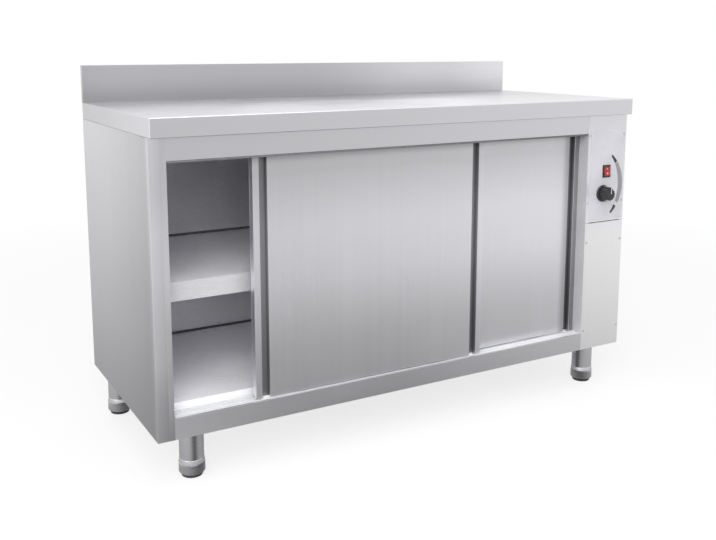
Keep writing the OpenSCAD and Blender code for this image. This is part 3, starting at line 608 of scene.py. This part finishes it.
leg = {
    "tube": 29.0, "wall": 1.5, "recess": 0.6, "tuck": 1.0, "plug": 14.0, "stemHole": 8.3, "steps": 72,
    "flange": 90.0, "flangeThick": 3.0, "flangeCorner": 9.0, "weld": 3.0, "weldShare": 0.45,
    "edge": 0.4,
}
legRing = {
    "radius": 31.0, "high": 11.0, "underIn": 0.5, "underHigh": 1.2, "topOut": 0.4, "topDown": 0.8,
    "edge": 0.5, "segments": 3, "over": 12,
}
foot = {
    "pad": 25.0, "padHigh": 9.0, "padRound": 1.5, "padShoulder": 2.0, "padIn": 1.0,
    "collar": 31.0, "collarTop": 33.7, "collarRim": 1.2, "bevel": 3.0, "seatOut": 1.0,
    "groove": 0.7, "grooveDown": (7.0, 6.5, 5.5, 5.0), "stem": 8.0, "stemTop": 74.0, "stemTip": 1.0,
    "threadPitch": 2.0, "threadDepth": 0.8, "edge": 0.5, "smooth": 28,
}
corners = {"front_left": "FrontLeft", "front_right": "FrontRight",
           "rear_left": "RearLeft", "rear_right": "RearRight"}
# A dark painted reflection band down each leg tube and foot collar, at a turn given for each corner.
reflectionBand = {
    "at": {"FrontLeft": -95, "FrontRight": -158, "RearLeft": -95, "RearRight": -158},
    "half": 15, "deep": 0.72, "footTurn": 22, "footHalf": 45, "footDeep": 0.6, "margin": 1.0,
}
legSteel = slotMaterial["leg_steel"]
legLow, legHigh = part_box("legs")[0][2] / mm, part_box("legs")[1][2] / mm
legUnder = legHigh - leg["flangeThick"]


# Paints the reflection band as a float attribute that darkens the tone.
def addStreak(bm, place, at, half, deep, fromRadius):
    layer = bm.verts.layers.float.new("paintedShadeShare")
    for vert in bm.verts:
        across = Vector((vert.co.x - place.x, vert.co.y - place.y))
        if across.length > fromRadius * mm:
            turn = (math.degrees(math.atan2(across.y, across.x)) - at + 180) % 360 - 180
            vert[layer] = deep * math.exp(-(turn / half) ** 2)


def makeLeg(place, title):
    radius, hole, weld = leg["tube"], leg["stemHole"], leg["weld"]
    inner, bore = radius - leg["recess"], radius - leg["wall"]
    ringTop = legLow + legRing["high"]
    tubeEnd, plugTop = ringTop - leg["tuck"], legLow + leg["plug"]
    belly = weld * leg["weldShare"]
    tube = turned([
        (radius + weld, legUnder), (radius + belly, legUnder - belly), (radius, legUnder - weld),
        (radius, tubeEnd), (inner, tubeEnd - leg["recess"]), (inner, legLow), (hole, legLow),
        (hole, plugTop), (bore, plugTop), (bore, legUnder),
    ], leg["steps"], closed=True)
    plate = slab(leg["flange"], leg["flange"], leg["flangeThick"], leg["flangeCorner"], leg["edge"],
                 (0, 0, legHigh - leg["flangeThick"] / 2))
    bm = joined(bmesh.new(), softened(tube, leg["edge"]))
    joined(bm, plate)
    bmesh.ops.translate(bm, vec=(place.x, place.y, 0), verts=bm.verts)
    addStreak(bm, place, reflectionBand["at"][title], reflectionBand["half"], reflectionBand["deep"],
              radius - reflectionBand["margin"])
    finishPiece(bm, "leg" + title, legSteel, "cabinet", ["legs"])
    outer = legRing["radius"]
    ring = turned([
        (inner, legLow), (outer - legRing["underIn"], legLow), (outer, legLow + legRing["underHigh"]),
        (radius + legRing["topOut"], ringTop - legRing["topDown"]), (inner, ringTop),
    ], leg["steps"], closed=True)
    softened(ring, legRing["edge"], legRing["segments"], legRing["over"])
    bmesh.ops.translate(ring, vec=(place.x, place.y, 0), verts=ring.verts)
    finishPiece(ring, "legRing" + title, ringSteel, "cabinet", ["legs"])


def makeFoot(corner, place, title):
    body = "foot_" + corner
    stem, stemTop, tip = foot["stem"], foot["stemTop"], foot["stemTip"]
    collar, top, rim = foot["collar"], foot["collarTop"], foot["collarRim"]
    bevel, seat, floor = foot["bevel"], foot["padHigh"], foot["collar"] - foot["groove"]
    lowEdge, lowFloor, highFloor, highEdge = [top - down for down in foot["grooveDown"]]
    thread = []
    height = top + 1
    while height < stemTop - foot["threadPitch"]:
        thread += [(stem, height), (stem - foot["threadDepth"], height + foot["threadPitch"] / 2)]
        height += foot["threadPitch"]
    bm = turned([
        (0, seat), (collar - bevel + foot["seatOut"], seat), (collar, seat + bevel), (collar, lowEdge),
        (floor, lowFloor), (floor, highFloor), (collar, highEdge), (collar, top - rim),
        (collar - rim, top), (stem, top), *thread, (stem, stemTop - tip), (stem - tip, stemTop),
        (0, stemTop),
    ], leg["steps"])
    bmesh.ops.translate(bm, vec=(place.x, place.y, 0), verts=bm.verts)
    addStreak(bm, place, reflectionBand["at"][title] + reflectionBand["footTurn"], reflectionBand["footHalf"],
              reflectionBand["footDeep"], collar - bevel - reflectionBand["margin"])
    finishPiece(bm, "foot" + title, slotMaterial["foot_steel"], body, [body],
                smooth=foot["smooth"])
    wide, around = foot["pad"], foot["padRound"]
    pad = turned([(0, 0), (wide - around, 0), (wide, around), (wide, seat - foot["padShoulder"]),
                  (wide - foot["padIn"], seat), (0, seat)], leg["steps"])
    softened(pad, foot["edge"])
    bmesh.ops.translate(pad, vec=(place.x, place.y, 0), verts=pad.verts)
    finishPiece(pad, "footPad" + title, slotMaterial["rubber"], body, [body])


for corner, title in corners.items():
    makeLeg(middleOf("foot_" + corner), title)
    makeFoot(corner, middleOf("foot_" + corner), title)
print("legs and feet made")


# Knob with a fluted grip and a white line on its pointer

knob = {
    "skirt": 24.0, "skirtHigh": 5.0, "skirtDrop": 1.6, "skirtIn": 2.4, "skirtEdge": 0.6, "steps": 96,
    "grip": 18.0, "gripTop": 16.8, "gripFrom": 3.0, "gripSteps": 144, "gripRim": 1.6, "high": 32.0,
    "flutes": 12, "fluteDepth": 1.6, "fluteShape": 1.5,
    "pointerWide": 5.0, "pointerOver": 2.0, "pointerReach": 21.0, "pointerCorner": 1.6,
    "pointerEdge": 0.7, "line": 1.4, "lineThick": 0.3, "lineCorner": 0.5, "lineEdge": 0.05,
    "lineShort": 3.0, "lineOut": 0.6, "downShort": 4.0, "downUp": 3.0,
}


def makeKnob():
    centre = middleOf("knob")
    place = frontPlace(centre.x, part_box("knob")[1][1], centre.z)
    skirt, high, top, low = knob["skirt"], knob["skirtHigh"], knob["high"], knob["gripFrom"]
    base = turned([(0, 0), (skirt, 0), (skirt, high - knob["skirtDrop"]),
                   (skirt - knob["skirtIn"], high), (0, high)], knob["steps"])
    bm = joined(bmesh.new(), softened(base, knob["skirtEdge"]))
    grip = bmesh.new()
    bmesh.ops.create_cone(grip, cap_ends=True, segments=knob["gripSteps"], radius1=knob["grip"] * mm,
                          radius2=knob["gripTop"] * mm, depth=(top - low) * mm)
    bmesh.ops.translate(grip, vec=(0, 0, (top + low) / 2 * mm), verts=grip.verts)
    for vert in grip.verts:
        turn = math.atan2(vert.co.x, vert.co.y) * knob["flutes"]
        depth = knob["fluteDepth"] * max(0.0, -math.cos(turn)) ** knob["fluteShape"] * mm
        flat = Vector((vert.co.x, vert.co.y, 0))
        vert.co -= flat.normalized() * depth
    rim = [e for e in grip.edges if all(abs(v.co.z - top * mm) < 0.01 * mm for v in e.verts)]
    roundEdges(grip, rim, knob["gripRim"] * mm, 4)
    joined(bm, grip)
    reach, tip = knob["pointerReach"], top + knob["pointerOver"]
    joined(bm, slab(knob["pointerWide"], reach, tip - low, knob["pointerCorner"], knob["pointerEdge"],
                    (0, reach / 2, (tip + low) / 2)))
    bmesh.ops.transform(bm, matrix=place, verts=bm.verts)
    finishPiece(bm, "controlKnob", slotMaterial["black_plastic"], "knob", ["knob"])
    wide, thick, edge = knob["line"], knob["lineThick"], knob["lineEdge"]
    line = joined(bmesh.new(), slab(wide, reach - knob["lineShort"], thick, knob["lineCorner"], edge,
                                    (0, reach / 2 + knob["lineOut"], tip)))
    joined(line, slab(wide, thick, top - knob["downShort"], 0, edge,
                      (0, reach, top / 2 + knob["downUp"])))
    bmesh.ops.transform(line, matrix=place, verts=line.verts)
    finishPiece(line, "pointerLine", whiteInk, "knob", ["knob"])


makeKnob()
print("knob made")


# Rocker switch with plain on and off marks

switch = {
    "rounding": 0.7, "roundOver": 35, "facing": -0.9, "faceArea": 100.0,
    "markHigh": 5.0, "markWide": 0.9, "markThick": 0.12, "markEdge": 0.04, "ringSteps": 40,
    "frame": 0.8, "frameTurn": 1.2, "frameShortest": 15.0,
}


def makeSwitch():
    rocker = mergedCopy("switch_rocker")
    softened(rocker, switch["rounding"], 3, switch["roundOver"])
    faces = [f for f in rocker.faces
             if f.normal.y < switch["facing"] and f.calc_area() > switch["faceArea"] * mm * mm]
    marks = bmesh.new()
    for face in sorted(faces, key=lambda f: -f.calc_center_median().z)[:2]:
        normal = face.normal.copy()
        centre = face.calc_center_bounds()
        side = Vector((1, 0, 0))
        upward = normal.cross(side)
        turnedTo = Matrix((side, upward, normal)).transposed().to_4x4()
        thick = switch["markThick"]
        if centre.z > middleOf("switch_rocker").z:
            mark = slab(switch["markWide"], switch["markHigh"], 2 * thick, 0, switch["markEdge"])
        else:
            outer = switch["markHigh"] / 2
            inner = outer - switch["markWide"]
            mark = turned([(inner, -thick), (outer, -thick), (outer, thick), (inner, thick)],
                          switch["ringSteps"], closed=True)
        joined(marks, mark, Matrix.Translation(centre) @ turnedTo)
    finishPiece(rocker, "switchRocker", slotMaterial["red_plastic"], "rocker",
                ["switch_rocker"])
    finishPiece(marks, "switchMarks", whiteInk, "rocker", ["switch_rocker"])
    bezel = mergedCopy("switch_bezel")
    rims = [e for e in bezel.edges if isCorner(e, switch["frameTurn"])
            and e.calc_length() > switch["frameShortest"] * mm]
    roundEdges(bezel, rims, switch["frame"] * mm, 3)
    finishPiece(bezel, "switchBezel", slotMaterial["black_plastic"], "cabinet",
                ["switch_bezel"])


makeSwitch()
print("switch made")


# Printed scale: figures and ticks round the knob, and a plain crescent at the right

scale = {
    "figures": 10, "step": 30, "figureSize": 6.2, "figureRing": 31.6, "tickIn": 25.6, "tickOut": 27.6,
    "tickWide": 0.6, "tickEdge": 0.02, "ink": 0.06, "smooth": 30,
    "arcX": 584.0, "arcZ": 605.0, "arcOut": 108.0, "arcSeed": 1.0, "arcWide": 17.0, "arcNarrow": 6.0,
    "arcFrom": -52, "arcTo": 53, "blackTo": 15, "gap": 6, "endGap": 1, "endSteps": 8, "steps": 32,
}
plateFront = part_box("scale_plate")[0][1]


def figure(text, size):
    curve = bpy.data.curves.new("figure", "FONT")
    curve.body = text
    curve.size = size * mm
    curve.align_x = "CENTER"
    curve.align_y = "CENTER"
    curve.extrude = scale["ink"] * mm
    carrier = bpy.data.objects.new("figure", curve)
    scene.collection.objects.link(carrier)
    mesh = bpy.data.meshes.new_from_object(carrier)
    bm = bmesh.new()
    bm.from_mesh(mesh)
    bpy.data.objects.remove(carrier)
    bpy.data.curves.remove(curve)
    bpy.data.meshes.remove(mesh)
    return bm


def arcStrip(start, end, steps):
    bm = bmesh.new()
    inner = bm.verts.new(((scale["arcOut"] - scale["arcSeed"]) * mm, 0, 0))
    outer = bm.verts.new((scale["arcOut"] * mm, 0, 0))
    edge = bm.edges.new((inner, outer))
    first = Matrix.Rotation(math.radians(start), 3, "Z")
    bmesh.ops.rotate(bm, cent=(0, 0, 0), matrix=first, verts=bm.verts)
    bmesh.ops.spin(bm, geom=[inner, outer, edge], cent=(0, 0, 0), axis=(0, 0, 1),
                   angle=math.radians(end - start), steps=steps)
    whole = scale["arcTo"] - scale["arcFrom"]
    for vert in bm.verts:
        if vert.co.length < (scale["arcOut"] - scale["arcSeed"] / 2) * mm:
            share = (math.degrees(math.atan2(vert.co.y, vert.co.x)) - scale["arcFrom"]) / whole
            swell = (scale["arcWide"] - scale["arcNarrow"]) * math.sin(math.pi * share)
            wide = scale["arcNarrow"] + swell
            vert.co = vert.co.normalized() * (scale["arcOut"] - wide) * mm
    bmesh.ops.recalc_face_normals(bm, faces=bm.faces)
    if sum(f.normal.z for f in bm.faces) < 0:
        bmesh.ops.reverse_faces(bm, faces=bm.faces)
    grown = bmesh.ops.extrude_face_region(bm, geom=list(bm.faces), use_keep_orig=True)
    lifted = [g for g in grown["geom"] if isinstance(g, bmesh.types.BMVert)]
    bmesh.ops.translate(bm, vec=(0, 0, scale["ink"] * mm), verts=lifted)
    bmesh.ops.recalc_face_normals(bm, faces=bm.faces)
    return bm


def makeScale():
    centre = middleOf("knob")
    place = frontPlace(centre.x, plateFront, centre.z)
    ink = bmesh.new()
    for number in range(scale["figures"]):
        turn = math.radians(90 - number * scale["step"])
        out = Vector((math.cos(turn), math.sin(turn), 0))
        joined(ink, figure(str(number), scale["figureSize"]),
               Matrix.Translation(out * scale["figureRing"] * mm))
        tick = slab(scale["tickOut"] - scale["tickIn"], scale["tickWide"], 2 * scale["ink"], 0,
                    scale["tickEdge"], ((scale["tickOut"] + scale["tickIn"]) / 2, 0, 0))
        joined(ink, tick, Matrix.Rotation(turn, 4, "Z"))
    bmesh.ops.transform(ink, matrix=place, verts=ink.verts)
    finishPiece(ink, "scaleFigures", greyInk, "cabinet", smooth=scale["smooth"],
                even=False)
    place = frontPlace(scale["arcX"] * mm, plateFront, scale["arcZ"] * mm)
    start, end, black, gap = scale["arcFrom"], scale["arcTo"], scale["blackTo"], scale["gap"]
    ends = joined(arcStrip(end - black, end, scale["endSteps"]),
                  arcStrip(start, start + black, scale["endSteps"]))
    middle = arcStrip(start + black + gap, end - black - scale["endGap"], scale["steps"])
    for bm, name, shade in ((ends, "scaleArcEnds", blackInk), (middle, "scaleArc", softGreyInk)):
        bmesh.ops.transform(bm, matrix=place, verts=bm.verts)
        finishPiece(bm, name, shade, "cabinet", smooth=scale["smooth"], even=False)


makeScale()
print("scale printed")


# Screws with cross recesses, and hexagon bolts under the leg flanges

screw = {"head": 3.6, "high": 1.8, "dome": 0.7, "slot": 0.55, "slotLong": 2.3, "slotDeep": 1.1,
         "steps": 24}
panelScrew = {"proud": 1.7, "above": 0.15, "split": 0.63, "rows": 20}
backScrew = {"inset": 14.0, "fromTop": 30.0, "across": 5}
bolt = {"head": 5.5, "high": 4.0, "chamfer": 0.6, "washer": 7.5, "washerHigh": 0.8,
        "washerEdge": 0.15, "washerSteps": 32, "apart": 36.0}


def crossHead():
    bm = bmesh.new()
    bmesh.ops.create_grid(bm, x_segments=3, y_segments=3, size=1)
    for vert in bm.verts:
        for axis in (0, 1):
            out = screw["slot"] if abs(vert.co[axis]) < 0.5 else screw["slotLong"]
            vert.co[axis] = math.copysign(out, vert.co[axis]) * mm
    plus = [f for f in bm.faces
            if min(abs(f.calc_center_median().x), abs(f.calc_center_median().y)) < 0.1 * mm]
    outline = [e for e in bm.edges if e.is_boundary]
    grown = bmesh.ops.extrude_face_region(bm, geom=plus)
    sunk = [g for g in grown["geom"] if isinstance(g, bmesh.types.BMVert)]
    bmesh.ops.delete(bm, geom=plus, context="FACES_ONLY")
    ring = bmesh.ops.create_circle(bm, segments=screw["steps"], radius=screw["head"] * mm)["verts"]
    rim = list({e for v in ring for e in v.link_edges})
    bmesh.ops.bridge_loops(bm, edges=outline + rim)
    for vert in bm.verts:
        share = math.hypot(vert.co.x, vert.co.y) / (screw["head"] * mm)
        vert.co.z = (screw["high"] - screw["dome"] * share ** 2) * mm
    bmesh.ops.translate(bm, vec=(0, 0, -screw["slotDeep"] * mm), verts=sunk)
    skirt = bmesh.ops.extrude_edge_only(bm, edges=[e for e in bm.edges if e.is_boundary])
    for vert in (g for g in skirt["geom"] if isinstance(g, bmesh.types.BMVert)):
        vert.co.z = 0
    bmesh.ops.recalc_face_normals(bm, faces=bm.faces)
    return bm


def makePanelScrews():
    bm = bmesh.new()
    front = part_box("column_cover")[0][1]
    islands = {}
    for vert in nodes["fasteners"].data.vertices:
        if vert.co.y < front - panelScrew["proud"] * mm and vert.co.z > panelScrew["above"]:
            key = (vert.co.x > panelScrew["split"], round(vert.co.z * panelScrew["rows"]))
            islands.setdefault(key, []).append(vert.co)
    for points in islands.values():
        x = (min(p.x for p in points) + max(p.x for p in points)) / 2
        z = (min(p.z for p in points) + max(p.z for p in points)) / 2
        joined(bm, crossHead(), frontPlace(x, front, z))
    finishPiece(bm, "panelScrews", zincBright, "cabinet", ["fasteners"])


def makeBackScrews():
    low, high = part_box("back_panel")
    rear = bmesh.new()
    turnedBack = Matrix.Rotation(math.radians(-90), 4, "X")
    inset = backScrew["inset"] * mm
    across = [low[0] + inset + (high[0] - low[0] - 2 * inset) * n / backScrew["across"]
              for n in range(backScrew["across"] + 1)]
    middle = (low[2] + high[2]) / 2
    for x in across:
        for z in (low[2] + inset, high[2] - backScrew["fromTop"] * mm):
            joined(rear, crossHead(), Matrix.Translation((x, high[1], z)) @ turnedBack)
    for x in (across[0], across[-1]):
        joined(rear, crossHead(), Matrix.Translation((x, high[1], middle)) @ turnedBack)
    finishPiece(rear, "backScrews", zincBright, "cabinet")


def makeBolts():
    bolts = bmesh.new()
    apart, thick = bolt["apart"] * mm, bolt["washerHigh"]
    lower = Matrix.Translation((0, 0, -(bolt["high"] / 2 + thick / 2) * mm))
    for corner in corners:
        place = middleOf("foot_" + corner)
        for sideX, sideY in ((-1, -1), (-1, 1), (1, -1), (1, 1)):
            matrix = Matrix.Translation((place.x + sideX * apart, place.y + sideY * apart,
                                         legUnder * mm))
            washer = turned([(0, -thick), (bolt["washer"], -thick), (bolt["washer"], 0), (0, 0)],
                            bolt["washerSteps"])
            joined(bolts, softened(washer, bolt["washerEdge"], 2), matrix)
            head = bmesh.new()
            bmesh.ops.create_cone(head, cap_ends=True, segments=6, radius1=bolt["head"] * mm,
                                  radius2=bolt["head"] * mm, depth=bolt["high"] * mm)
            roundEdges(head, list(head.edges), bolt["chamfer"] * mm, 2)
            joined(bolts, head, matrix @ lower)
    finishPiece(bolts, "legBolts", slotMaterial["zinc_steel"], "cabinet", ["fasteners"])


makePanelScrews()
makeBackScrews()
makeBolts()
print("screws and bolts made")


# Dark beads along the rear wall over the shelf and the deck, standing in for the shadow in these
# joints, and a dark strip under the top rail standing in for the shadow there: painted shadow

bead = {"high": 6.5, "deep": 4.0, "edge": 1.2, "inset": 1.0}
strip = {"thick": 2.5, "below": 5.0, "above": 12.0, "edge": 0.6, "sheet": 1.0}


def makeBeads():
    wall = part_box("back_liner")[0][1] / mm
    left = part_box("mid_shelf")[0][0] / mm + bead["inset"]
    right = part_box("mid_shelf")[1][0] / mm - bead["inset"]
    bm = bmesh.new()
    for node in ("mid_shelf", "deck"):
        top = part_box(node)[1][2] / mm
        joined(bm, slab(right - left, bead["deep"], bead["high"], 0, bead["edge"],
                        ((left + right) / 2, wall - bead["deep"] / 2, top + bead["high"] / 2)))
    finishPiece(bm, "rearShadowBeads", paintedShadowGrey, "cabinet")
    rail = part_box("top_rail")
    left, right = rail[0][0] / mm + strip["sheet"], rail[1][0] / mm - strip["sheet"]
    behind = rail[0][1] / mm + strip["sheet"]
    under = rail[0][2] / mm
    middle = under + (strip["above"] - strip["below"]) / 2
    # Dark strip hung behind the rail's lower edge: painted shadow under the top rail.
    hanging = slab(right - left, strip["thick"], strip["below"] + strip["above"], 0, strip["edge"],
                   ((left + right) / 2, behind + strip["thick"] / 2, middle))
    finishPiece(hanging, "railShadowStrip", paintedShadowGrey, "cabinet")


makeBeads()
print("beads made")


# Cable gland under the column

gland = {
    "nut": 13.0, "nutHigh": 5.0, "nutRim": 3.0, "nutEdge": 0.5, "cap": 10.0, "capLow": 17.0,
    "tipIn": 3.5, "tipUp": 2.5, "shoulderIn": 1.0, "shoulderUp": 5.0, "bore": 5.0, "thread": 8.0,
    "above": 8.0, "pan": 1.0, "steps": 96, "ribs": 16, "ribDepth": 0.5, "ribFrom": 0.5,
}


def makeGland():
    centre = middleOf("cable_gland")
    bore, cap, thread, above = gland["bore"], gland["cap"], gland["thread"], gland["above"]
    bottom, nutLow = -gland["capLow"], -gland["nutHigh"]
    body = turned([
        (bore, bottom), (cap - gland["tipIn"], bottom),
        (cap - gland["shoulderIn"], bottom + gland["tipUp"]), (cap, bottom + gland["shoulderUp"]),
        (cap, nutLow), (thread, nutLow), (thread, above), (bore, above),
    ], gland["steps"], closed=True)
    for vert in body.verts:
        flat = Vector((vert.co.x, vert.co.y, 0))
        if flat.length > (cap - gland["ribFrom"]) * mm:
            turn = math.atan2(vert.co.y, vert.co.x) * gland["ribs"]
            vert.co -= flat.normalized() * gland["ribDepth"] * max(0.0, math.cos(turn)) * mm
    bm = joined(bmesh.new(), body)
    for middle in (-gland["nutHigh"] / 2, gland["pan"] + gland["nutHigh"] / 2):
        nut = bmesh.new()
        bmesh.ops.create_cone(nut, cap_ends=True, segments=6, radius1=gland["nut"] * mm,
                              radius2=gland["nut"] * mm, depth=gland["nutHigh"] * mm)
        for face in [f for f in nut.faces if len(f.verts) == 6]:
            bmesh.ops.inset_region(nut, faces=[face],
                                   thickness=(gland["nut"] - bore - gland["nutRim"]) * mm)
        roundEdges(nut, [e for e in nut.edges if e.calc_face_angle(0) > 0.5], gland["nutEdge"] * mm, 2)
        joined(bm, nut, Matrix.Translation((0, 0, middle * mm)))
    bmesh.ops.translate(bm, vec=(centre.x, centre.y, legHigh * mm), verts=bm.verts)
    finishPiece(bm, "cableGland", slotMaterial["black_plastic"], "cabinet",
                ["cable_gland"])


makeGland()
print("gland made")


# Camera at the photograph's place, with a small vertical shift

camera = {
    "place": (-1.2412, -2.1208, 0.9966), "yaw": 29.75, "pitch": 8.99,
    "focalPixels": 892.3, "photoWide": 716, "shift": 0.115, "sensor": 36, "near": 0.05, "far": 60,
}
cameraData = bpy.data.cameras.new("camera")
cameraData.sensor_width = camera["sensor"]
cameraData.sensor_fit = "HORIZONTAL"
cameraData.lens = camera["focalPixels"] / camera["photoWide"] * camera["sensor"]
cameraData.shift_y = -camera["shift"]
cameraData.clip_start = camera["near"]
cameraData.clip_end = camera["far"]
cameraObject = bpy.data.objects.new("camera", cameraData)
scene.collection.objects.link(cameraObject)
cameraObject.location = camera["place"]
cameraObject.rotation_euler = (math.radians(90 - camera["pitch"]), 0, -math.radians(camera["yaw"]))
scene.camera = cameraObject


# Floor, world and lamps

studio = {
    "floorSize": 30, "floorTone": 0.86, "floorNear": 0.08, "floorFade": 1.7, "mirrorShare": 0.88,
    "seenAt": (1.0, 3.2), "seenShare": 0.75, "worldLight": 0.62, "behindCamera": 0.68,
    "behindTo": -0.62,
}


def dimmedBehind(tree, toward):
    return spread(tree, toward, studio["behindCamera"], 1.0, -1.0, studio["behindTo"])


def mirroredRay(tree, rays):
    return maths(tree, "MAXIMUM", rays.outputs["Is Glossy Ray"], rays.outputs["Is Transmission Ray"])


floor = bpy.data.objects.new("floor", bpy.data.meshes.new("floor"))
floorMesh = bmesh.new()
bmesh.ops.create_grid(floorMesh, x_segments=2, y_segments=2, size=studio["floorSize"])
floorMesh.to_mesh(floor.data)
floorMesh.free()
scene.collection.objects.link(floor)
floorMaterial = bpy.data.materials.new("paleFloor")
floorMaterial.use_nodes = True
tree = floorMaterial.node_tree
tree.nodes.clear()
rays = put(tree, "LightPath")
position = put(tree, "NewGeometry").outputs["Position"]
away = put(tree, "VectorMath", {0: position}, operation="LENGTH").outputs["Value"]
matt = put(tree, "BsdfDiffuse", {"Color": (*(studio["floorTone"],) * 3, 1)}).outputs[0]
white = put(tree, "Emission", {"Color": (1, 1, 1, 1), "Strength": 1.0}).outputs[0]
# For glossy and transmission rays the floor glows white far off and is painted darker near the object,
# a painted shadow in its reflections; it is also dimmer towards -Y.
nearness = maths(tree, "POWER", math.e, maths(tree, "DIVIDE", away, -studio["floorFade"]))
forward = put(tree, "SeparateXYZ", {"Vector": position}).outputs["Y"]
dimmed = maths(tree, "MULTIPLY", spread(tree, nearness, 1.0, studio["floorNear"], 0, 1),
               dimmedBehind(tree, maths(tree, "DIVIDE", forward, away)))
shine = put(tree, "Emission", {"Color": (1, 1, 1, 1), "Strength": dimmed}).outputs[0]
seen = maths(tree, "MULTIPLY", rays.outputs["Is Camera Ray"],
             spread(tree, away, studio["seenShare"], 1.0, *studio["seenAt"]))
mirrored = maths(tree, "MULTIPLY", mirroredRay(tree, rays), studio["mirrorShare"])
bright = put(tree, "MixShader", {0: seen, 1: matt, 2: white}).outputs[0]
mixed = put(tree, "MixShader", {0: mirrored, 1: bright, 2: shine}).outputs[0]
put(tree, "OutputMaterial", {"Surface": mixed})
floor.data.materials.append(floorMaterial)

world = bpy.data.worlds.new("studio")
scene.world = world
world.use_nodes = True
tree = world.node_tree
tree.nodes.clear()
rays = put(tree, "LightPath")
direction = put(tree, "TexCoord").outputs["Generated"]
toward = put(tree, "SeparateXYZ", {"Vector": direction}).outputs["Y"]
mirrored = maths(tree, "MULTIPLY", mirroredRay(tree, rays), dimmedBehind(tree, toward))
strength = maths(tree, "MAXIMUM", rays.outputs["Is Camera Ray"],
                 maths(tree, "MAXIMUM", mirrored, studio["worldLight"]))
background = put(tree, "Background", {"Color": (1, 1, 1, 1), "Strength": strength})
put(tree, "OutputWorld", {"Surface": background.outputs[0]})

lamps = {
    "overhead": {"place": (-0.3, -1.2, 3.2), "target": (0, 0, 0.6), "size": 2.6, "power": 42},
    "leftFill": {"place": (-3.4, -1.4, 1.8), "target": (-0.6, 0, 0.5), "size": 2.2, "power": 26},
    "frontFill": {"place": (-1.8, -2.9, 2.2), "target": (-0.3, 0, 0.45), "size": 2.0, "power": 86,
                  "mirrored": False},
    "rearStrip": {"place": (1.7, 3.0, 2.3), "target": (0, -0.1, 0.85), "size": 1.6, "power": 3},
}
for lampName, lamp in lamps.items():
    lampData = bpy.data.lights.new(lampName, "AREA")
    lampData.shape = "SQUARE"
    lampData.size = lamp["size"]
    lampData.energy = lamp["power"]
    lampObject = bpy.data.objects.new(lampName, lampData)
    scene.collection.objects.link(lampObject)
    lampObject.location = lamp["place"]
    lampObject.visible_glossy = lamp.get("mirrored", True)
    aim = Vector(lamp["target"]) - Vector(lamp["place"])
    lampObject.rotation_euler = aim.to_track_quat("-Z", "Y").to_euler()

scene.view_settings.view_transform = "Standard"
print("scene ready")
